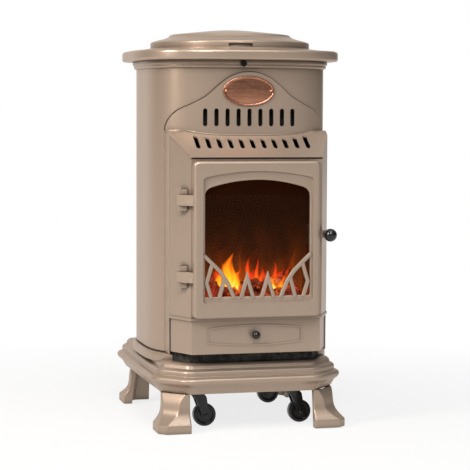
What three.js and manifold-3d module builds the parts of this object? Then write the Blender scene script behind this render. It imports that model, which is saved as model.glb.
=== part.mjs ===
// Portable gas cabinet heater, stove style, on castors. Millimetres, +Z up, front towards -Y.
// The origin is on the floor, under the middle of the whole heater seen from above.
import * as THREE from 'three';
import { mergeVertices } from 'three/addons/utils/BufferGeometryUtils.js';
import Module from 'manifold-3d';

const wasm = await Module();
wasm.setup();

// ---- Driving dimensions ----
const seatGap = 0.3; // between pieces that touch
const beyond = 300; // further out than any piece
const hingeGap = 0.3; // around a pin
const pinSides = 12;

// Castors
const wheelRadius = 22.5;
const wheelWidth = 19;
const castorTrail = 18;
const castorHeight = 74; // floor to top of plate
const castorPlateSize = 46;
const castorPlateThickness = 2.5;
const forkThickness = 3;
const axleRadius = 3.5;
const kingpinRadius = 5;
const castorX = 96;
const castorY = 115;

// Feet
const footLift = 1.5; // the castors carry the heater, the feet hover
const footOuterX = 185;
const footOuterY = 203;
const rearFootShift = 15; // the rear feet stand this much further out
const footWidth = 63;
const footPadHeight = 18;
const footClip = 13;
const footWaist = 15; // how far the shaft stands in from the pad
const footWall = 18; // thickness of its two arms at the floor

// Plinth
const basePlateThickness = 2.5;
const plinthHalfX = 170; // at its bottom edge
const plinthFront = 190;
const plinthRear = 212;
const frontClip = 46; // cut-off front corners, measured along each side
const rearRound = 9; // the rear corners are only rounded
const plinthFillet = 22;
const plinthRise = 59;
const plinthWall = 5;
const plinthBead = 18; // how far its bead stands out
const seatRise = 12; // raised oval seat of the drum
const seatOverhang = 7;

// Oval drum, a superellipse in plan
const drumHalfX = 175.5;
const drumFrontDepth = 151;
const drumRearDepth = 180;
const drumPower = 3.5;
const drumHeight = 556;
const drumFloat = 3; // shadow gap over the seat
const sheet = 1.5;
const ovalSides = 44;

// Front box
const boxFront = 216;
const boxHalfX = 127.5;
const shoulderX = 156;
const shoulderY = 155;
const seamGap = 1.5; // the dark seam between wrap and box
const boxSheet = 2.5;
const airGap = 20; // under the lower panel
const lowerPanelHeight = 64;
const lowerPanelInset = 3;
const surroundHeight = 302;
const ledgeHeight = 5;
const ledgeOut = 1.8;

// Canopy
const lipHeight = 4;
const canopySlope = 0.672; // rise over run
const canopyRise = 49;
const canopySheet = 3.5;
const archThickness = 4.7;
const archRise = 111; // above the canopy's shoulder
const slotPitch = 21.5;
const slotWidth = 8.5;
const archSlots = 9;
const archSlotLow = 8; // above the canopy's shoulder
const archSlotHeight = 34;
const roofSlots = 11;
const roofSlotSetback = 24; // from the front edge, in plan
const roofSlotMargin = 9; // from the crease
const badgeHalfX = 50.5;
const badgeX = -2; // its centre, left of the middle
const badgeHalfZ = 28.5;
const badgeThickness = 1.5;
const badgeSides = 32;
const badgeDrop = 36; // its centre below the arch's top
const rivetRadius = 3;

// Door
const doorWidth = 245;
const doorHeight = 294;
const doorThickness = 21.7;
const doorOffset = -4.5; // its middle, left of the box's middle
const doorLift = 5.5; // above the surround's foot
const doorCorner = 10;
const doorBevel = 6;
const doorWall = 8;
const doorPlate = 10; // thickness of the frame's face
const recessMargin = 15;
const recessFoot = 30;
const recessDepth = 2;
const doorStile = 20.5; // width of the frame beside the window
const windowHalfX = doorWidth / 2 - doorStile;
const windowFoot = 41; // its foot above the door's foot
const windowSide = 200; // height of its straight sides
const windowArch = 18;
const windowCorner = 14;
const barWidth = 7.5;
const barDepth = 6;
const glassThickness = 4;
const glassLap = 8;
const clipWidth = 9;
const clipThickness = 2;

// Door hinges
const hingePinX = 146;
const hingePinY = 200;
const hingePinRadius = 3;
const knuckleRadius = 6.5;
const strapHeight = 20;
const strapThickness = 6;
const lugHeight = 10;
const upperHinge = 221; // centre of its strap above the door's foot
const lowerHinge = 77;

// Knobs
const doorKnobOut = 14; // beyond the door's edge
const doorKnobRise = 155; // above the door's foot
const doorKnobRadius = 12.3;
const doorKnobReach = 39; // ball centre in front of the box
const knobStemRadius = 4;
const drawerKnobRadius = 8;
const drawerKnobReach = 11;
const drawerStemRadius = 3.2;
const drawerHalfX = 92.5;
const drawerX = -3; // its middle, left of the box's middle
const drawerLow = 20; // outline's low corners above the panel's foot
const drawerHigh = 49;
const drawerBow = 6;

// Firebox
const fireboxHalfX = 112;
const fireboxDepth = 84;
const fireboxSheet = 2;
const fireboxFoot = 14; // above the surround's foot
const fireboxHeight = 272;
const trayMargin = 16; // room beside the tray for the pilot
const trayHalfX = fireboxHalfX - trayMargin;
const trayDepth = 58;
const trayHeight = 24;
const trayWall = 2;
const coalRadius = 17;
const coalColumns = 6;
const coalRows = 2;
const coalRowPitch = 19;
const coalRowRise = 9;
const catchWidth = 9;
const catchDepth = 12;
const catchHeight = 36;

// Top
const collarHeight = 15;
const collarOut = 7.5;
const ringOut = 28.5;
const ringHeight = 20;
const ringCrown = 5.5;
const ringReach = 7.5; // how far the top ring reaches in under the lid
const panelSheet = 1.6;
const lidRadius = 157.5;
const lidBand = 10;
const lidDome = 27;
const lidSheet = 3;
const lidHingeOut = 8.5; // the pin stands this far behind the lid's band
const lidPinRadius = 2.5;
const lidHingeWidth = 52;
const lidTongueWidth = 24;
const notchWidth = 46;
const notchHeight = 9;
const notchTurn = 6.5; // degrees left of the middle
const screwRadius = 6;
const screwX = -13;

// Controls
const controlKnobX = -42;
const igniterX = 42;
const controlsY = -62;
const controlKnobRadius = 17;
const controlKnobHeight = 18;
const spindleRadius = 4;
const valveSize = 38;
const igniterRadius = 9;
const buttonRadius = 6;
const buttonTravel = 6;
const buttonHead = 8;

// Gas
const bottleRadius = 128;
const bottleHeight = 470;
const bottleY = 30;
const bottleNeck = 18;
const regulatorRadius = 24;
const regulatorHeight = 34;
const hoseRadius = 6;
const pipeRadius = 4;

// Rear door
const rearHalfX = 138;
const rearFoot = 14; // above the drum's foot
const rearHeight = 520;
const rearGap = 2;
const rearPinRadius = 2.5;
const rearKnuckle = 5;
const rearEar = 4.4; // its ears are slimmer, clear of the turning panel
const rearHandleRadius = 11;
const rearHandleInset = 30; // from the door's free edge
const rearSlotHalfX = 60;
const rearSlotHeight = 8;
const rearSlotPitch = 24;
const rearSlotFoot = 60; // the lower pair, above the door's foot
const rearSlotHead = 20; // the upper pair, below the door's head and above the canopy's slots

// ---- Heights, from the floor up ----
const plateTop = castorHeight;
const plinthBottom = plateTop + seatGap;
const deckTop = plinthBottom + plinthRise;
const seatTop = deckTop + seatRise;
const drumBottom = seatTop + drumFloat;
const drumTop = drumBottom + drumHeight;
const lowerPanelBottom = deckTop + airGap;
const lowerPanelTop = lowerPanelBottom + lowerPanelHeight;
const surroundBottom = lowerPanelTop + seatGap;
const surroundTop = surroundBottom + surroundHeight;
const lipBottom = surroundTop + seatGap;
const eaves = lipBottom + lipHeight;
const shoulderTop = eaves + canopyRise;
const archTop = shoulderTop + archRise;
const collarTop = drumTop + 2;
const collarBottom = collarTop - collarHeight;
const ringBottom = collarTop + seatGap;
const ringTop = ringBottom + ringHeight;
const lidBottom = ringTop + ringCrown + seatGap;
const ringHole = lidRadius - ringReach;
const lidHingeY = lidRadius + lidHingeOut;
const doorBottom = surroundBottom + doorLift;
const doorTop = doorBottom + doorHeight;
const basePlateTop = plinthBottom + basePlateThickness;
const bottleBottom = basePlateTop + seatGap;
const bottleTop = bottleBottom + bottleHeight;

// The canopy's roof rises from the eaves to the shoulder, which starts at this depth.
const roofPlane = (y) => eaves + canopySlope * (y + boxFront);
const shoulderRunY = -boxFront + canopyRise / canopySlope;

// ---- Finishes ----
const finish = (color, roughness, metalness) => (
  new THREE.MeshStandardMaterial({ color, roughness, metalness }));
const enamel = finish('#ab9787', 0.42, 0.25);
const copper = finish('#b5775a', 0.35, 0.9);
const blackGloss = finish('#151312', 0.2, 0.1);
const blackPlastic = finish('#242322', 0.45, 0.0);
const sootBlack = finish('#1b1512', 0.8, 0.2);
const zinc = finish('#a9abad', 0.4, 0.85);
const brass = finish('#b39552', 0.35, 0.9);
const ember = finish('#7a4636', 0.95, 0.0);
const darkGlass = finish('#2b1c14', 0.08, 0.0);
const bottlePaint = finish('#3c6a8c', 0.5, 0.1);
const hoseRubber = finish('#c4632a', 0.7, 0.0);

// ---- Solids: helpers ----
const solidOf = (geometry) => {
  const bare = geometry.clone();
  bare.deleteAttribute('normal');
  bare.deleteAttribute('uv');
  const merged = mergeVertices(bare, 1e-4);
  const vertProperties = new Float32Array(merged.attributes.position.array);
  const triVerts = new Uint32Array(merged.index.array);
  return new wasm.Manifold(new wasm.Mesh({ numProp: 3, vertProperties, triVerts }));
};

const geometryOf = (solid) => {
  const mesh = solid.getMesh();
  const geometry = new THREE.BufferGeometry();
  geometry.setAttribute('position', new THREE.BufferAttribute(new Float32Array(mesh.vertProperties), 3));
  geometry.setIndex(new THREE.BufferAttribute(new Uint32Array(mesh.triVerts), 1));
  geometry.computeVertexNormals();
  return geometry;
};

const join = (first, ...others) => others.reduce((sum, other) => sum.add(other), first);
const cut = (first, ...others) => others.reduce((rest, other) => rest.subtract(other), first);

// A flat outline (list of [a, b]) pushed along an axis: z takes (x, y), y takes (x, z), x takes (y, z).
const bases = {
  z: [[1, 0, 0], [0, 1, 0], [0, 0, 1]],
  y: [[1, 0, 0], [0, 0, 1], [0, -1, 0]],
  x: [[0, 1, 0], [0, 0, 1], [1, 0, 0]],
};
const prism = (outline, axis, low, high) => {
  const shape = new THREE.Shape(outline.map(([a, b]) => new THREE.Vector2(a, b)));
  const geometry = new THREE.ExtrudeGeometry(shape, { depth: high - low, bevelEnabled: false });
  const [a, b, c] = bases[axis].map((v) => new THREE.Vector3(...v));
  const start = axis === 'y' ? -high : low;
  geometry.translate(0, 0, start);
  geometry.applyMatrix4(new THREE.Matrix4().makeBasis(a, b, c));
  return solidOf(geometry);
};

const block = (x0, x1, y0, y1, z0, z1) => {
  const geometry = new THREE.BoxGeometry(x1 - x0, y1 - y0, z1 - z0);
  geometry.translate((x0 + x1) / 2, (y0 + y1) / 2, (z0 + z1) / 2);
  return solidOf(geometry);
};

// A round bar between two points.
const bar = (start, end, radius, sides = pinSides) => {
  const from = new THREE.Vector3(...start);
  const to = new THREE.Vector3(...end);
  const geometry = new THREE.CylinderGeometry(radius, radius, from.distanceTo(to), sides);
  const along = to.clone().sub(from).normalize();
  geometry.applyQuaternion(new THREE.Quaternion().setFromUnitVectors(new THREE.Vector3(0, 1, 0), along));
  geometry.translate(...from.add(to).multiplyScalar(0.5).toArray());
  return solidOf(geometry);
};

const ball = (centre, radius, across = 14, down = 8) => {
  const geometry = new THREE.SphereGeometry(radius, across, down);
  return solidOf(geometry.translate(...centre));
};

// A profile of [radius, height] turned about the Z axis.
const turned = (profile, sides) => {
  const points = profile.map(([r, z]) => new THREE.Vector2(r, z));
  return solidOf(new THREE.LatheGeometry(points, sides).rotateX(Math.PI / 2));
};

// Rings of matching points, skinned one to the next. A loop closes on its first ring; otherwise the ends
// are capped from their middle point.
const skinned = (rings, loop) => {
  const count = rings[0].length;
  const points = rings.flat();
  const faces = [];
  const steps = loop ? rings.length : rings.length - 1;
  for (let i = 0; i < steps; i += 1) {
    const below = i * count;
    const above = ((i + 1) % rings.length) * count;
    for (let j = 0; j < count; j += 1) {
      const next = (j + 1) % count;
      faces.push(below + j, below + next, above + next, below + j, above + next, above + j);
    }
  }
  if (!loop) {
    const ends = [[rings[0], 0, true], [rings.at(-1), (rings.length - 1) * count, false]];
    for (const [ring, start, turn] of ends) {
      const middle = [0, 1, 2].map((k) => ring.reduce((sum, p) => sum + p[k], 0) / count);
      points.push(middle);
      for (let j = 0; j < count; j += 1) {
        const pair = [start + j, start + ((j + 1) % count)];
        faces.push(...(turn ? pair.reverse() : pair), points.length - 1);
      }
    }
  }
  const geometry = new THREE.BufferGeometry();
  geometry.setAttribute('position', new THREE.Float32BufferAttribute(points.flat(), 3));
  geometry.setIndex(faces);
  const solid = solidOf(geometry);
  if (solid.volume() > 0) return solid;
  const swapped = [];
  for (let k = 0; k < faces.length; k += 3) swapped.push(faces[k], faces[k + 2], faces[k + 1]);
  geometry.setIndex(swapped);
  return solidOf(geometry);
};

// ---- Outlines ----
const atHeight = (outline, z) => outline.map(([x, y]) => [x, y, z]);

// The drum's oval, moved out by an offset along its normal.
const oval = (offset) => Array.from({ length: ovalSides }, (_, i) => {
  const angle = (i / ovalSides) * 2 * Math.PI;
  const [c, s] = [Math.cos(angle), Math.sin(angle)];
  const halfY = s < 0 ? drumFrontDepth : drumRearDepth;
  const radius = (
    (Math.abs(c) / drumHalfX) ** drumPower + (Math.abs(s) / halfY) ** drumPower
  ) ** (-1 / drumPower);
  const [x, y] = [radius * c, radius * s];
  const nx = (Math.sign(c) * (Math.abs(x) / drumHalfX) ** (drumPower - 1)) / drumHalfX;
  const ny = (Math.sign(s) * (Math.abs(y) / halfY) ** (drumPower - 1)) / halfY;
  const length = Math.hypot(nx, ny);
  return [x + (offset * nx) / length, y + (offset * ny) / length];
});
const round = (radius) => Array.from({ length: ovalSides }, (_, i) => {
  const angle = (i / ovalSides) * 2 * Math.PI;
  return [radius * Math.cos(angle), radius * Math.sin(angle)];
});
// Distance from the middle to the drum's face at a given x, for its front or rear half.
const drumDepthAt = (x, half = drumFrontDepth) => (
  half * (1 - (Math.abs(x) / drumHalfX) ** drumPower) ** (1 / drumPower));
const rearDepthAt = (x) => drumDepthAt(x, drumRearDepth);

// A polygon with every corner rounded, by one radius or by a radius for each corner.
const rounded = (corners, radius, steps) => corners.flatMap(([x, y], i) => {
  const [px, py] = corners.at(i - 1);
  const [qx, qy] = corners[(i + 1) % corners.length];
  const before = new THREE.Vector2(px - x, py - y).normalize();
  const after = new THREE.Vector2(qx - x, qy - y).normalize();
  const half = Math.acos(before.dot(after)) / 2;
  const reach = (typeof radius === 'function' ? radius(i) : radius) / Math.tan(half);
  const start = new THREE.Vector2(x, y).addScaledVector(before, reach);
  const end = new THREE.Vector2(x, y).addScaledVector(after, reach);
  const bend = new THREE.QuadraticBezierCurve(start, new THREE.Vector2(x, y), end);
  return bend.getPoints(steps).map((p) => [p.x, p.y]);
});

const rectangle = (x0, x1, y0, y1) => [[x0, y0], [x1, y0], [x1, y1], [x0, y1]];

// The plinth's plan moved out by an offset: front corners cut off and eased, rear ones rounded.
const clipped = (offset) => {
  const [w, front, rear] = [plinthHalfX, plinthFront, plinthRear].map((reach) => reach + offset);
  const clip = frontClip + offset * (2 - Math.SQRT2);
  const corners = [
    [w, rear], [-w, rear], [-w, -front + clip], [-w + clip, -front],
    [w - clip, -front], [w, -front + clip],
  ];
  return rounded(corners, (i) => Math.max((i < 2 ? rearRound : plinthFillet) + offset, 2), 4);
};

// The box front's plan, moved in by an inset, closed at the given depth behind the drum's face.
const boxPlan = (inset, back) => {
  const along = new THREE.Vector2(shoulderX - boxHalfX, boxFront - shoulderY);
  const push = inset / (along.y / along.length()); // sideways move of the sloping side
  const lean = (along.x / along.y) * inset;
  const [frontX, frontY] = [boxHalfX - push + lean, boxFront - inset];
  const sideX = shoulderX - inset;
  const sideY = shoulderY + ((sideX - (shoulderX - push)) / along.x) * -along.y;
  return [
    [-sideX, -back], [-sideX, -sideY], [-frontX, -frontY],
    [frontX, -frontY], [sideX, -sideY], [sideX, -back],
  ];
};

// A folded sheet round the box front, open at the back.
const sheetEnd = shoulderY - 1;
const frontSheet = (inset, thickness, low, high) => {
  const outer = prism(boxPlan(inset, sheetEnd), 'z', low, high);
  const inner = prism(boxPlan(inset + thickness, 0), 'z', low - 1, high + 1);
  return cut(outer, inner);
};

// ---- Assembly ----
const heater = new THREE.Group();
heater.name = 'gas_cabinet_heater';
const frontReach = boxFront + doorKnobReach + doorKnobRadius;
const rearReach = plinthRear + plinthBead;
heater.position.y = (frontReach - rearReach) / 2;

const add = (name, solid, material, parent = heater) => {
  const mesh = new THREE.Mesh(geometryOf(solid), material);
  mesh.name = name;
  parent.add(mesh);
  return mesh;
};

// ---- Plinth: a moulded ring of beads and coves, with a raised oval seat ----
const plinthOuter = [
  [0, 0], [1.5, 2], [9, 14], [15, 19], [plinthBead, 23.5], [plinthBead, 27], [15, 31], [9, 33.5], [8, 36],
  [8, 41], [6, 44.5], [0, 48], [-2, 53], [-6, 57], [-10, plinthRise],
];
const plinthInner = [
  [-20, plinthRise], [-20, plinthRise - plinthWall], [-plinthWall - 3, 42], [-plinthWall, 0],
];
const plinthRings = [...plinthOuter, ...plinthInner].map(([d, z]) => atHeight(clipped(d), plinthBottom + z));
const seatRings = [
  [seatOverhang, -plinthWall], [seatOverhang, seatRise - 5], [seatOverhang - 3, seatRise], [-12, seatRise],
  [-12, -plinthWall],
].map(([d, z]) => atHeight(oval(d), deckTop + z));
const deck = cut(
  prism(clipped(-15), 'z', deckTop - plinthWall, deckTop),
  prism(oval(-12), 'z', deckTop - plinthWall - 1, deckTop + 1),
);
add('plinth', join(skinned(plinthRings, true), deck, skinned(seatRings, true)), enamel);

// ---- Base plate inside the plinth: carries the bottle and the castors ----
const basePlate = prism(clipped(-plinthWall - seatGap), 'z', plinthBottom, basePlateTop);
add('base_plate', basePlate, zinc);

// ---- Feet: flared hollow castings under the plinth's corners ----
const footTop = plinthBottom - seatGap;
const footOutline = (inFromPad, z) => {
  const [x, y] = [footOuterX - inFromPad, footOuterY - inFromPad];
  const [ix, iy] = [footOuterX - footWidth, footOuterY - footWidth];
  const clip = footClip + inFromPad * 0.9;
  return [[ix, iy], [ix, y], [x - clip, y], [x, y - clip], [x, iy]].map(([a, b]) => [a, b, z]);
};
const shaftFoot = footLift + footPadHeight;
const footProfile = [
  [1.5, footLift], [0, footLift + 2], [0, shaftFoot - 2], [2.5, shaftFoot], [5, shaftFoot + 4],
  [10, shaftFoot + 11], [13.5, shaftFoot + 20], [footWaist, shaftFoot + 34], [footWaist, footTop],
];
const hollowAt = (wall, z) => {
  const [x, y] = [footOuterX - wall, footOuterY - wall];
  return atHeight([[0, 0], [x, 0], [x, y - footWaist], [x - footWaist, y], [0, y]], z);
};
const footShell = cut(
  skinned(footProfile.map(([d, z]) => footOutline(d, z)), false),
  skinned([hollowAt(footWall, footLift - 1), hollowAt(footWaist + footWall - 5, footTop + 1)], false),
);
for (const [name, sx, sy, shift] of [
  ['foot_front_left', -1, -1, 0], ['foot_front_right', 1, -1, 0],
  ['foot_rear_left', -1, 1, rearFootShift], ['foot_rear_right', 1, 1, rearFootShift],
]) add(name, footShell.scale([sx, sy, 1]).translate([0, shift, 0]), enamel);

// ---- Castors: plate, swivelling fork with its kingpin and axle, wheel ----
const forkTop = plateTop - castorPlateThickness - 1.5;
const cheekInner = wheelWidth / 2 + 1.2;
const cheekOuter = cheekInner + forkThickness;
const kingpinTop = plateTop - 0.5;
const wheelProfile = [
  [axleRadius + hingeGap, 1 - wheelWidth / 2], [wheelRadius - 8, 1 - wheelWidth / 2],
  [wheelRadius - 6.5, -wheelWidth / 2],
  [wheelRadius - 2, -wheelWidth / 2], [wheelRadius, 3.5 - wheelWidth / 2],
];
const wheelRing = [...wheelProfile, ...wheelProfile.toReversed().map(([r, z]) => [r, -z]), wheelProfile[0]];
const castors = [
  ['front_left', -1, -1], ['front_right', 1, -1], ['rear_left', -1, 1], ['rear_right', 1, 1],
];
for (const [where, sx, sy] of castors) {
  const castor = new THREE.Group();
  castor.position.set(sx * castorX, sy * castorY, 0);
  heater.add(castor);
  const half = castorPlateSize / 2;
  const plate = cut(
    block(-half, half, -half, half, plateTop - castorPlateThickness, plateTop),
    bar([0, 0, 0], [0, 0, plateTop + 1], kingpinRadius + hingeGap),
  );
  add(`castor_plate_${where}`, plate, zinc, castor);

  // The wheel trails towards +X, as both front wheels do in the photograph.
  const crown = bar([0, 0, forkTop - 5], [0, 0, forkTop], 15);
  const side = [
    [-11, forkTop - 5], [-11, forkTop], [11, forkTop], [castorTrail + 9, wheelRadius + 4],
    [castorTrail + 6, wheelRadius - 7],
    [castorTrail - 6, wheelRadius - 7], [castorTrail - 9, wheelRadius + 2],
  ];
  const cheeks = cut(prism(side, 'y', -cheekOuter, cheekOuter), cut(
    block(-40, 60, -cheekInner, cheekInner, -10, forkTop - 4),
    block(-40, -39, -1, 1, -1, 0),
  ));
  const fork = join(
    crown,
    cheeks,
    bar([0, 0, forkTop - 2], [0, 0, kingpinTop], kingpinRadius),
    bar([castorTrail, -cheekOuter - 2, wheelRadius], [castorTrail, cheekOuter + 2, wheelRadius], axleRadius),
  );
  add(`castor_fork_${where}`, fork, blackPlastic, castor);
  const wheel = turned(wheelRing, 18).rotate([90, 0, 0]).translate([castorTrail, 0, wheelRadius]);
  add(`castor_wheel_${where}`, wheel, blackGloss, castor);
}

// ---- Cabinet wrap: one sheet round the drum, with flanges running forward to the box front ----
const wrapShell = cut(
  prism(oval(0), 'z', drumBottom, drumTop),
  prism(oval(-sheet), 'z', drumBottom - 1, drumTop + 1),
);
const wrapFrontTop = shoulderTop - canopySheet - seatGap;
const coreY = 60; // cuts through the drum's front or back end this far from its middle
const frontCut = block(
  -shoulderX + sheet, shoulderX - sheet, -boxFront, -coreY, drumBottom - 1, wrapFrontTop,
);
const slotSpan = ((roofSlots - 1) / 2) * slotPitch;
const ventCut = block(
  -slotSpan, slotSpan, -boxFront, -coreY, drumBottom, shoulderTop + archSlotLow + archSlotHeight + 5,
);
const rearBottom = drumBottom + rearFoot;
const rearTop = rearBottom + rearHeight;
const rearCut = block(
  -rearHalfX - rearGap, rearHalfX + rearGap, coreY, boxFront, rearBottom - rearGap, rearTop + rearGap,
);
const roofClearance = canopySheet + 2 * seatGap;
const flange = (side) => {
  const [x0, x1] = [side * shoulderX, side * (shoulderX - sheet)].sort((a, b) => a - b);
  return cut(
    block(x0, x1, -sheetEnd + seamGap, -drumDepthAt(shoulderX) + 3, drumBottom, wrapFrontTop),
    prism([
      [-boxFront, roofPlane(-boxFront) - roofClearance], [shoulderRunY, shoulderTop - roofClearance],
      [shoulderRunY, drumTop], [-boxFront, drumTop],
    ], 'x', x0 - 1, x1 + 1),
  );
};
add('cabinet_wrap', join(cut(wrapShell, frontCut, ventCut, rearCut), flange(-1), flange(1)), enamel);

// ---- Lower front panel, with the pressed outline of an ash drawer and its ball knob ----
const bowed = (halfX, low, high, bow) => {
  const lower = new THREE.QuadraticBezierCurve(
    new THREE.Vector2(-halfX, low), new THREE.Vector2(0, low - 2 * bow), new THREE.Vector2(halfX, low),
  );
  const upper = new THREE.QuadraticBezierCurve(
    new THREE.Vector2(halfX, high), new THREE.Vector2(0, high + 2 * bow), new THREE.Vector2(-halfX, high),
  );
  return [...lower.getPoints(8), ...upper.getPoints(8)].map((p) => [drawerX + p.x, p.y]);
};
const panelFace = boxFront - lowerPanelInset;
const outlineWidth = 3;
const outlineRise = 1.4;
const drawerEdge = cut(
  prism(bowed(drawerHalfX, lowerPanelBottom + drawerLow, lowerPanelBottom + drawerHigh, drawerBow), 'y',
    -panelFace - outlineRise, -panelFace + 1),
  prism(bowed(drawerHalfX - outlineWidth, lowerPanelBottom + drawerLow + outlineWidth,
    lowerPanelBottom + drawerHigh - outlineWidth, drawerBow), 'y', -panelFace - 5, -panelFace + 2),
);
const lowerPanel = join(frontSheet(lowerPanelInset, boxSheet, lowerPanelBottom, lowerPanelTop), drawerEdge);
add('lower_panel', lowerPanel, enamel);

const drawerKnobZ = lowerPanelBottom + (drawerLow + drawerHigh) / 2 + 1;
const drawerKnobY = -panelFace - drawerKnobReach;
const drawerKnob = join(
  ball([drawerX, drawerKnobY, drawerKnobZ], drawerKnobRadius, 12, 7),
  bar([drawerX, drawerKnobY, drawerKnobZ], [drawerX, -panelFace - seatGap, drawerKnobZ], drawerStemRadius),
);
add('drawer_knob', drawerKnob, blackGloss);

// ---- Door surround: the folded box front, open for the door ----
const behindLip = -boxFront + canopySheet + seatGap;
const underRoof = [
  [-boxFront - 20, surroundTop], [behindLip, surroundTop], [behindLip, roofPlane(behindLip) - roofClearance],
  [shoulderRunY, shoulderTop - roofClearance], [0, shoulderTop - roofClearance], [0, drumTop],
  [-boxFront - 20, drumTop],
];
const ledge = frontSheet(-ledgeOut, boxSheet + ledgeOut, surroundBottom, surroundBottom + ledgeHeight);
const openingHalfX = fireboxHalfX;
const openingFoot = surroundBottom + fireboxFoot;
const surround = cut(
  join(
    frontSheet(0, boxSheet, surroundBottom, shoulderTop),
    cut(ledge, block(-beyond, beyond, -shoulderY, 0, 0, drumTop)),
  ),
  prism(underRoof, 'x', -beyond, beyond),
  block(-openingHalfX, openingHalfX, -boxFront - 5, -boxFront + boxSheet + 5,
    openingFoot, openingFoot + fireboxHeight),
);
add('door_surround', surround, enamel);

// ---- Canopy fascia: sloping slotted roof and the bell-shaped slotted plate above it ----
const roofSection = [
  [-boxFront, lipBottom], [-boxFront, eaves], [shoulderRunY, shoulderTop], [-40, shoulderTop],
  [-40, shoulderTop - canopySheet], [shoulderRunY, shoulderTop - canopySheet],
  [-boxFront + canopySheet, roofPlane(-boxFront + canopySheet) - canopySheet],
  [-boxFront + canopySheet, lipBottom],
];
const roof = cut(
  prism(roofSection, 'x', -shoulderX, shoulderX)
    .intersect(prism(boxPlan(0, 40), 'z', lipBottom, shoulderTop)),
  prism(oval(seatGap), 'z', lipBottom - 1, shoulderTop + 1),
);
const archCurve = new THREE.SplineCurve([
  [0, 0], [17, -1.5], [40, -10.5], [61.5, -26.5], [84, -46], [111, -61], [135, -72.5], [148, -86],
  [154.5, -100], [shoulderX, -archRise],
].map(([x, drop]) => new THREE.Vector2(x, archTop + drop)));
const archSide = archCurve.getPoints(20).map((p) => [p.x, p.y]);
const archOutline = [
  ...archSide, [shoulderX, eaves], [-shoulderX, eaves],
  ...archSide.slice(1).reverse().map(([x, z]) => [-x, z]),
];
const underCrease = [
  [-boxFront - 20, eaves - 20], [0, eaves - 20], [0, shoulderTop - canopySheet],
  [shoulderRunY, shoulderTop - canopySheet], [-boxFront, eaves - canopySheet],
];
const archPlate = cut(
  prism(oval(seatGap + archThickness), 'z', eaves, archTop + 1),
  prism(oval(seatGap), 'z', eaves - 1, archTop + 2),
  prism(underCrease, 'x', -beyond, beyond),
).intersect(prism(archOutline, 'y', -boxFront, -coreY));
const slotOutline = (x, low, high) => rounded(
  rectangle(x - slotWidth / 2, x + slotWidth / 2, low, high), slotWidth * 0.49, 2,
);
const places = (count) => Array.from({ length: count }, (_, i) => (i - (count - 1) / 2) * slotPitch);
const archSlotFoot = shoulderTop + archSlotLow;
const archCuts = places(archSlots).map((x) => (
  prism(slotOutline(x, archSlotFoot, archSlotFoot + archSlotHeight), 'y', -boxFront, -coreY)));
const roofCuts = places(roofSlots).map((x) => {
  const crease = -drumDepthAt(x) - archThickness;
  const slot = slotOutline(x, -boxFront + roofSlotSetback, crease - roofSlotMargin);
  return prism(slot, 'z', lipBottom - 10, archSlotFoot - 4);
});
add('canopy_fascia', cut(join(roof, archPlate), ...archCuts, ...roofCuts), enamel);

// ---- Badge: a plain oval plate held by two rivets ----
const badgeZ = archTop - badgeDrop;
const plateFront = drumFrontDepth + seatGap + archThickness;
const ellipse = (halfX, halfZ, sides) => Array.from({ length: sides }, (_, i) => {
  const angle = (i / sides) * 2 * Math.PI;
  return [badgeX + halfX * Math.cos(angle), badgeZ + halfZ * Math.sin(angle)];
});
const badgeBack = -plateFront - seatGap;
const rivetX = badgeHalfX - 6;
const rivetHoles = [badgeX - rivetX, badgeX + rivetX].map((x) => (
  bar([x, badgeBack + 5, badgeZ], [x, badgeBack - 5, badgeZ], rivetRadius * 0.5 + seatGap, 10)));
const badgeFace = badgeBack - badgeThickness - 0.6;
const badgePlate = join(
  prism(ellipse(badgeHalfX, badgeHalfZ, badgeSides), 'y', badgeBack - badgeThickness, badgeBack),
  prism(ellipse(badgeHalfX - 3, badgeHalfZ - 3, badgeSides), 'y', badgeFace, badgeBack - 0.2),
);
add('badge', cut(badgePlate, ...rivetHoles), copper);
for (const [name, x] of [['badge_rivet_left', badgeX - rivetX], ['badge_rivet_right', badgeX + rivetX]]) {
  const head = ball([x, badgeFace - seatGap, badgeZ], rivetRadius, 12, 8)
    .intersect(block(x - 9, x + 9, badgeFace - 9, badgeFace - seatGap, badgeZ - 9, badgeZ + 9));
  const shank = bar([x, badgeFace - 0.5, badgeZ], [x, badgeBack + 0.1, badgeZ], rivetRadius * 0.5, 10);
  add(name, join(head, shank), copper);
}

// ---- Door: cast frame with grate, glass, two clips, ball knob on its lug, two hinge straps ----
const door = new THREE.Group();
heater.add(door);
const doorLeft = doorOffset - doorWidth / 2;
const doorRight = doorOffset + doorWidth / 2;
const doorBack = -boxFront - seatGap * 2;
const doorFace = doorBack - doorThickness;
const doorRing = (inset, y) => rounded(
  rectangle(doorLeft + inset, doorRight - inset, doorBottom + inset, doorTop - inset),
  Math.max(doorCorner - inset * 0.6, 3), 4,
).map(([x, z]) => [x, y, z]);
const doorBlank = skinned([
  doorRing(0, doorBack), doorRing(0, doorFace + doorBevel),
  doorRing(doorBevel * 0.15, doorFace + doorBevel * 0.5),
  doorRing(doorBevel * 0.5, doorFace + doorBevel * 0.13), doorRing(doorBevel, doorFace),
], false);
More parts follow.
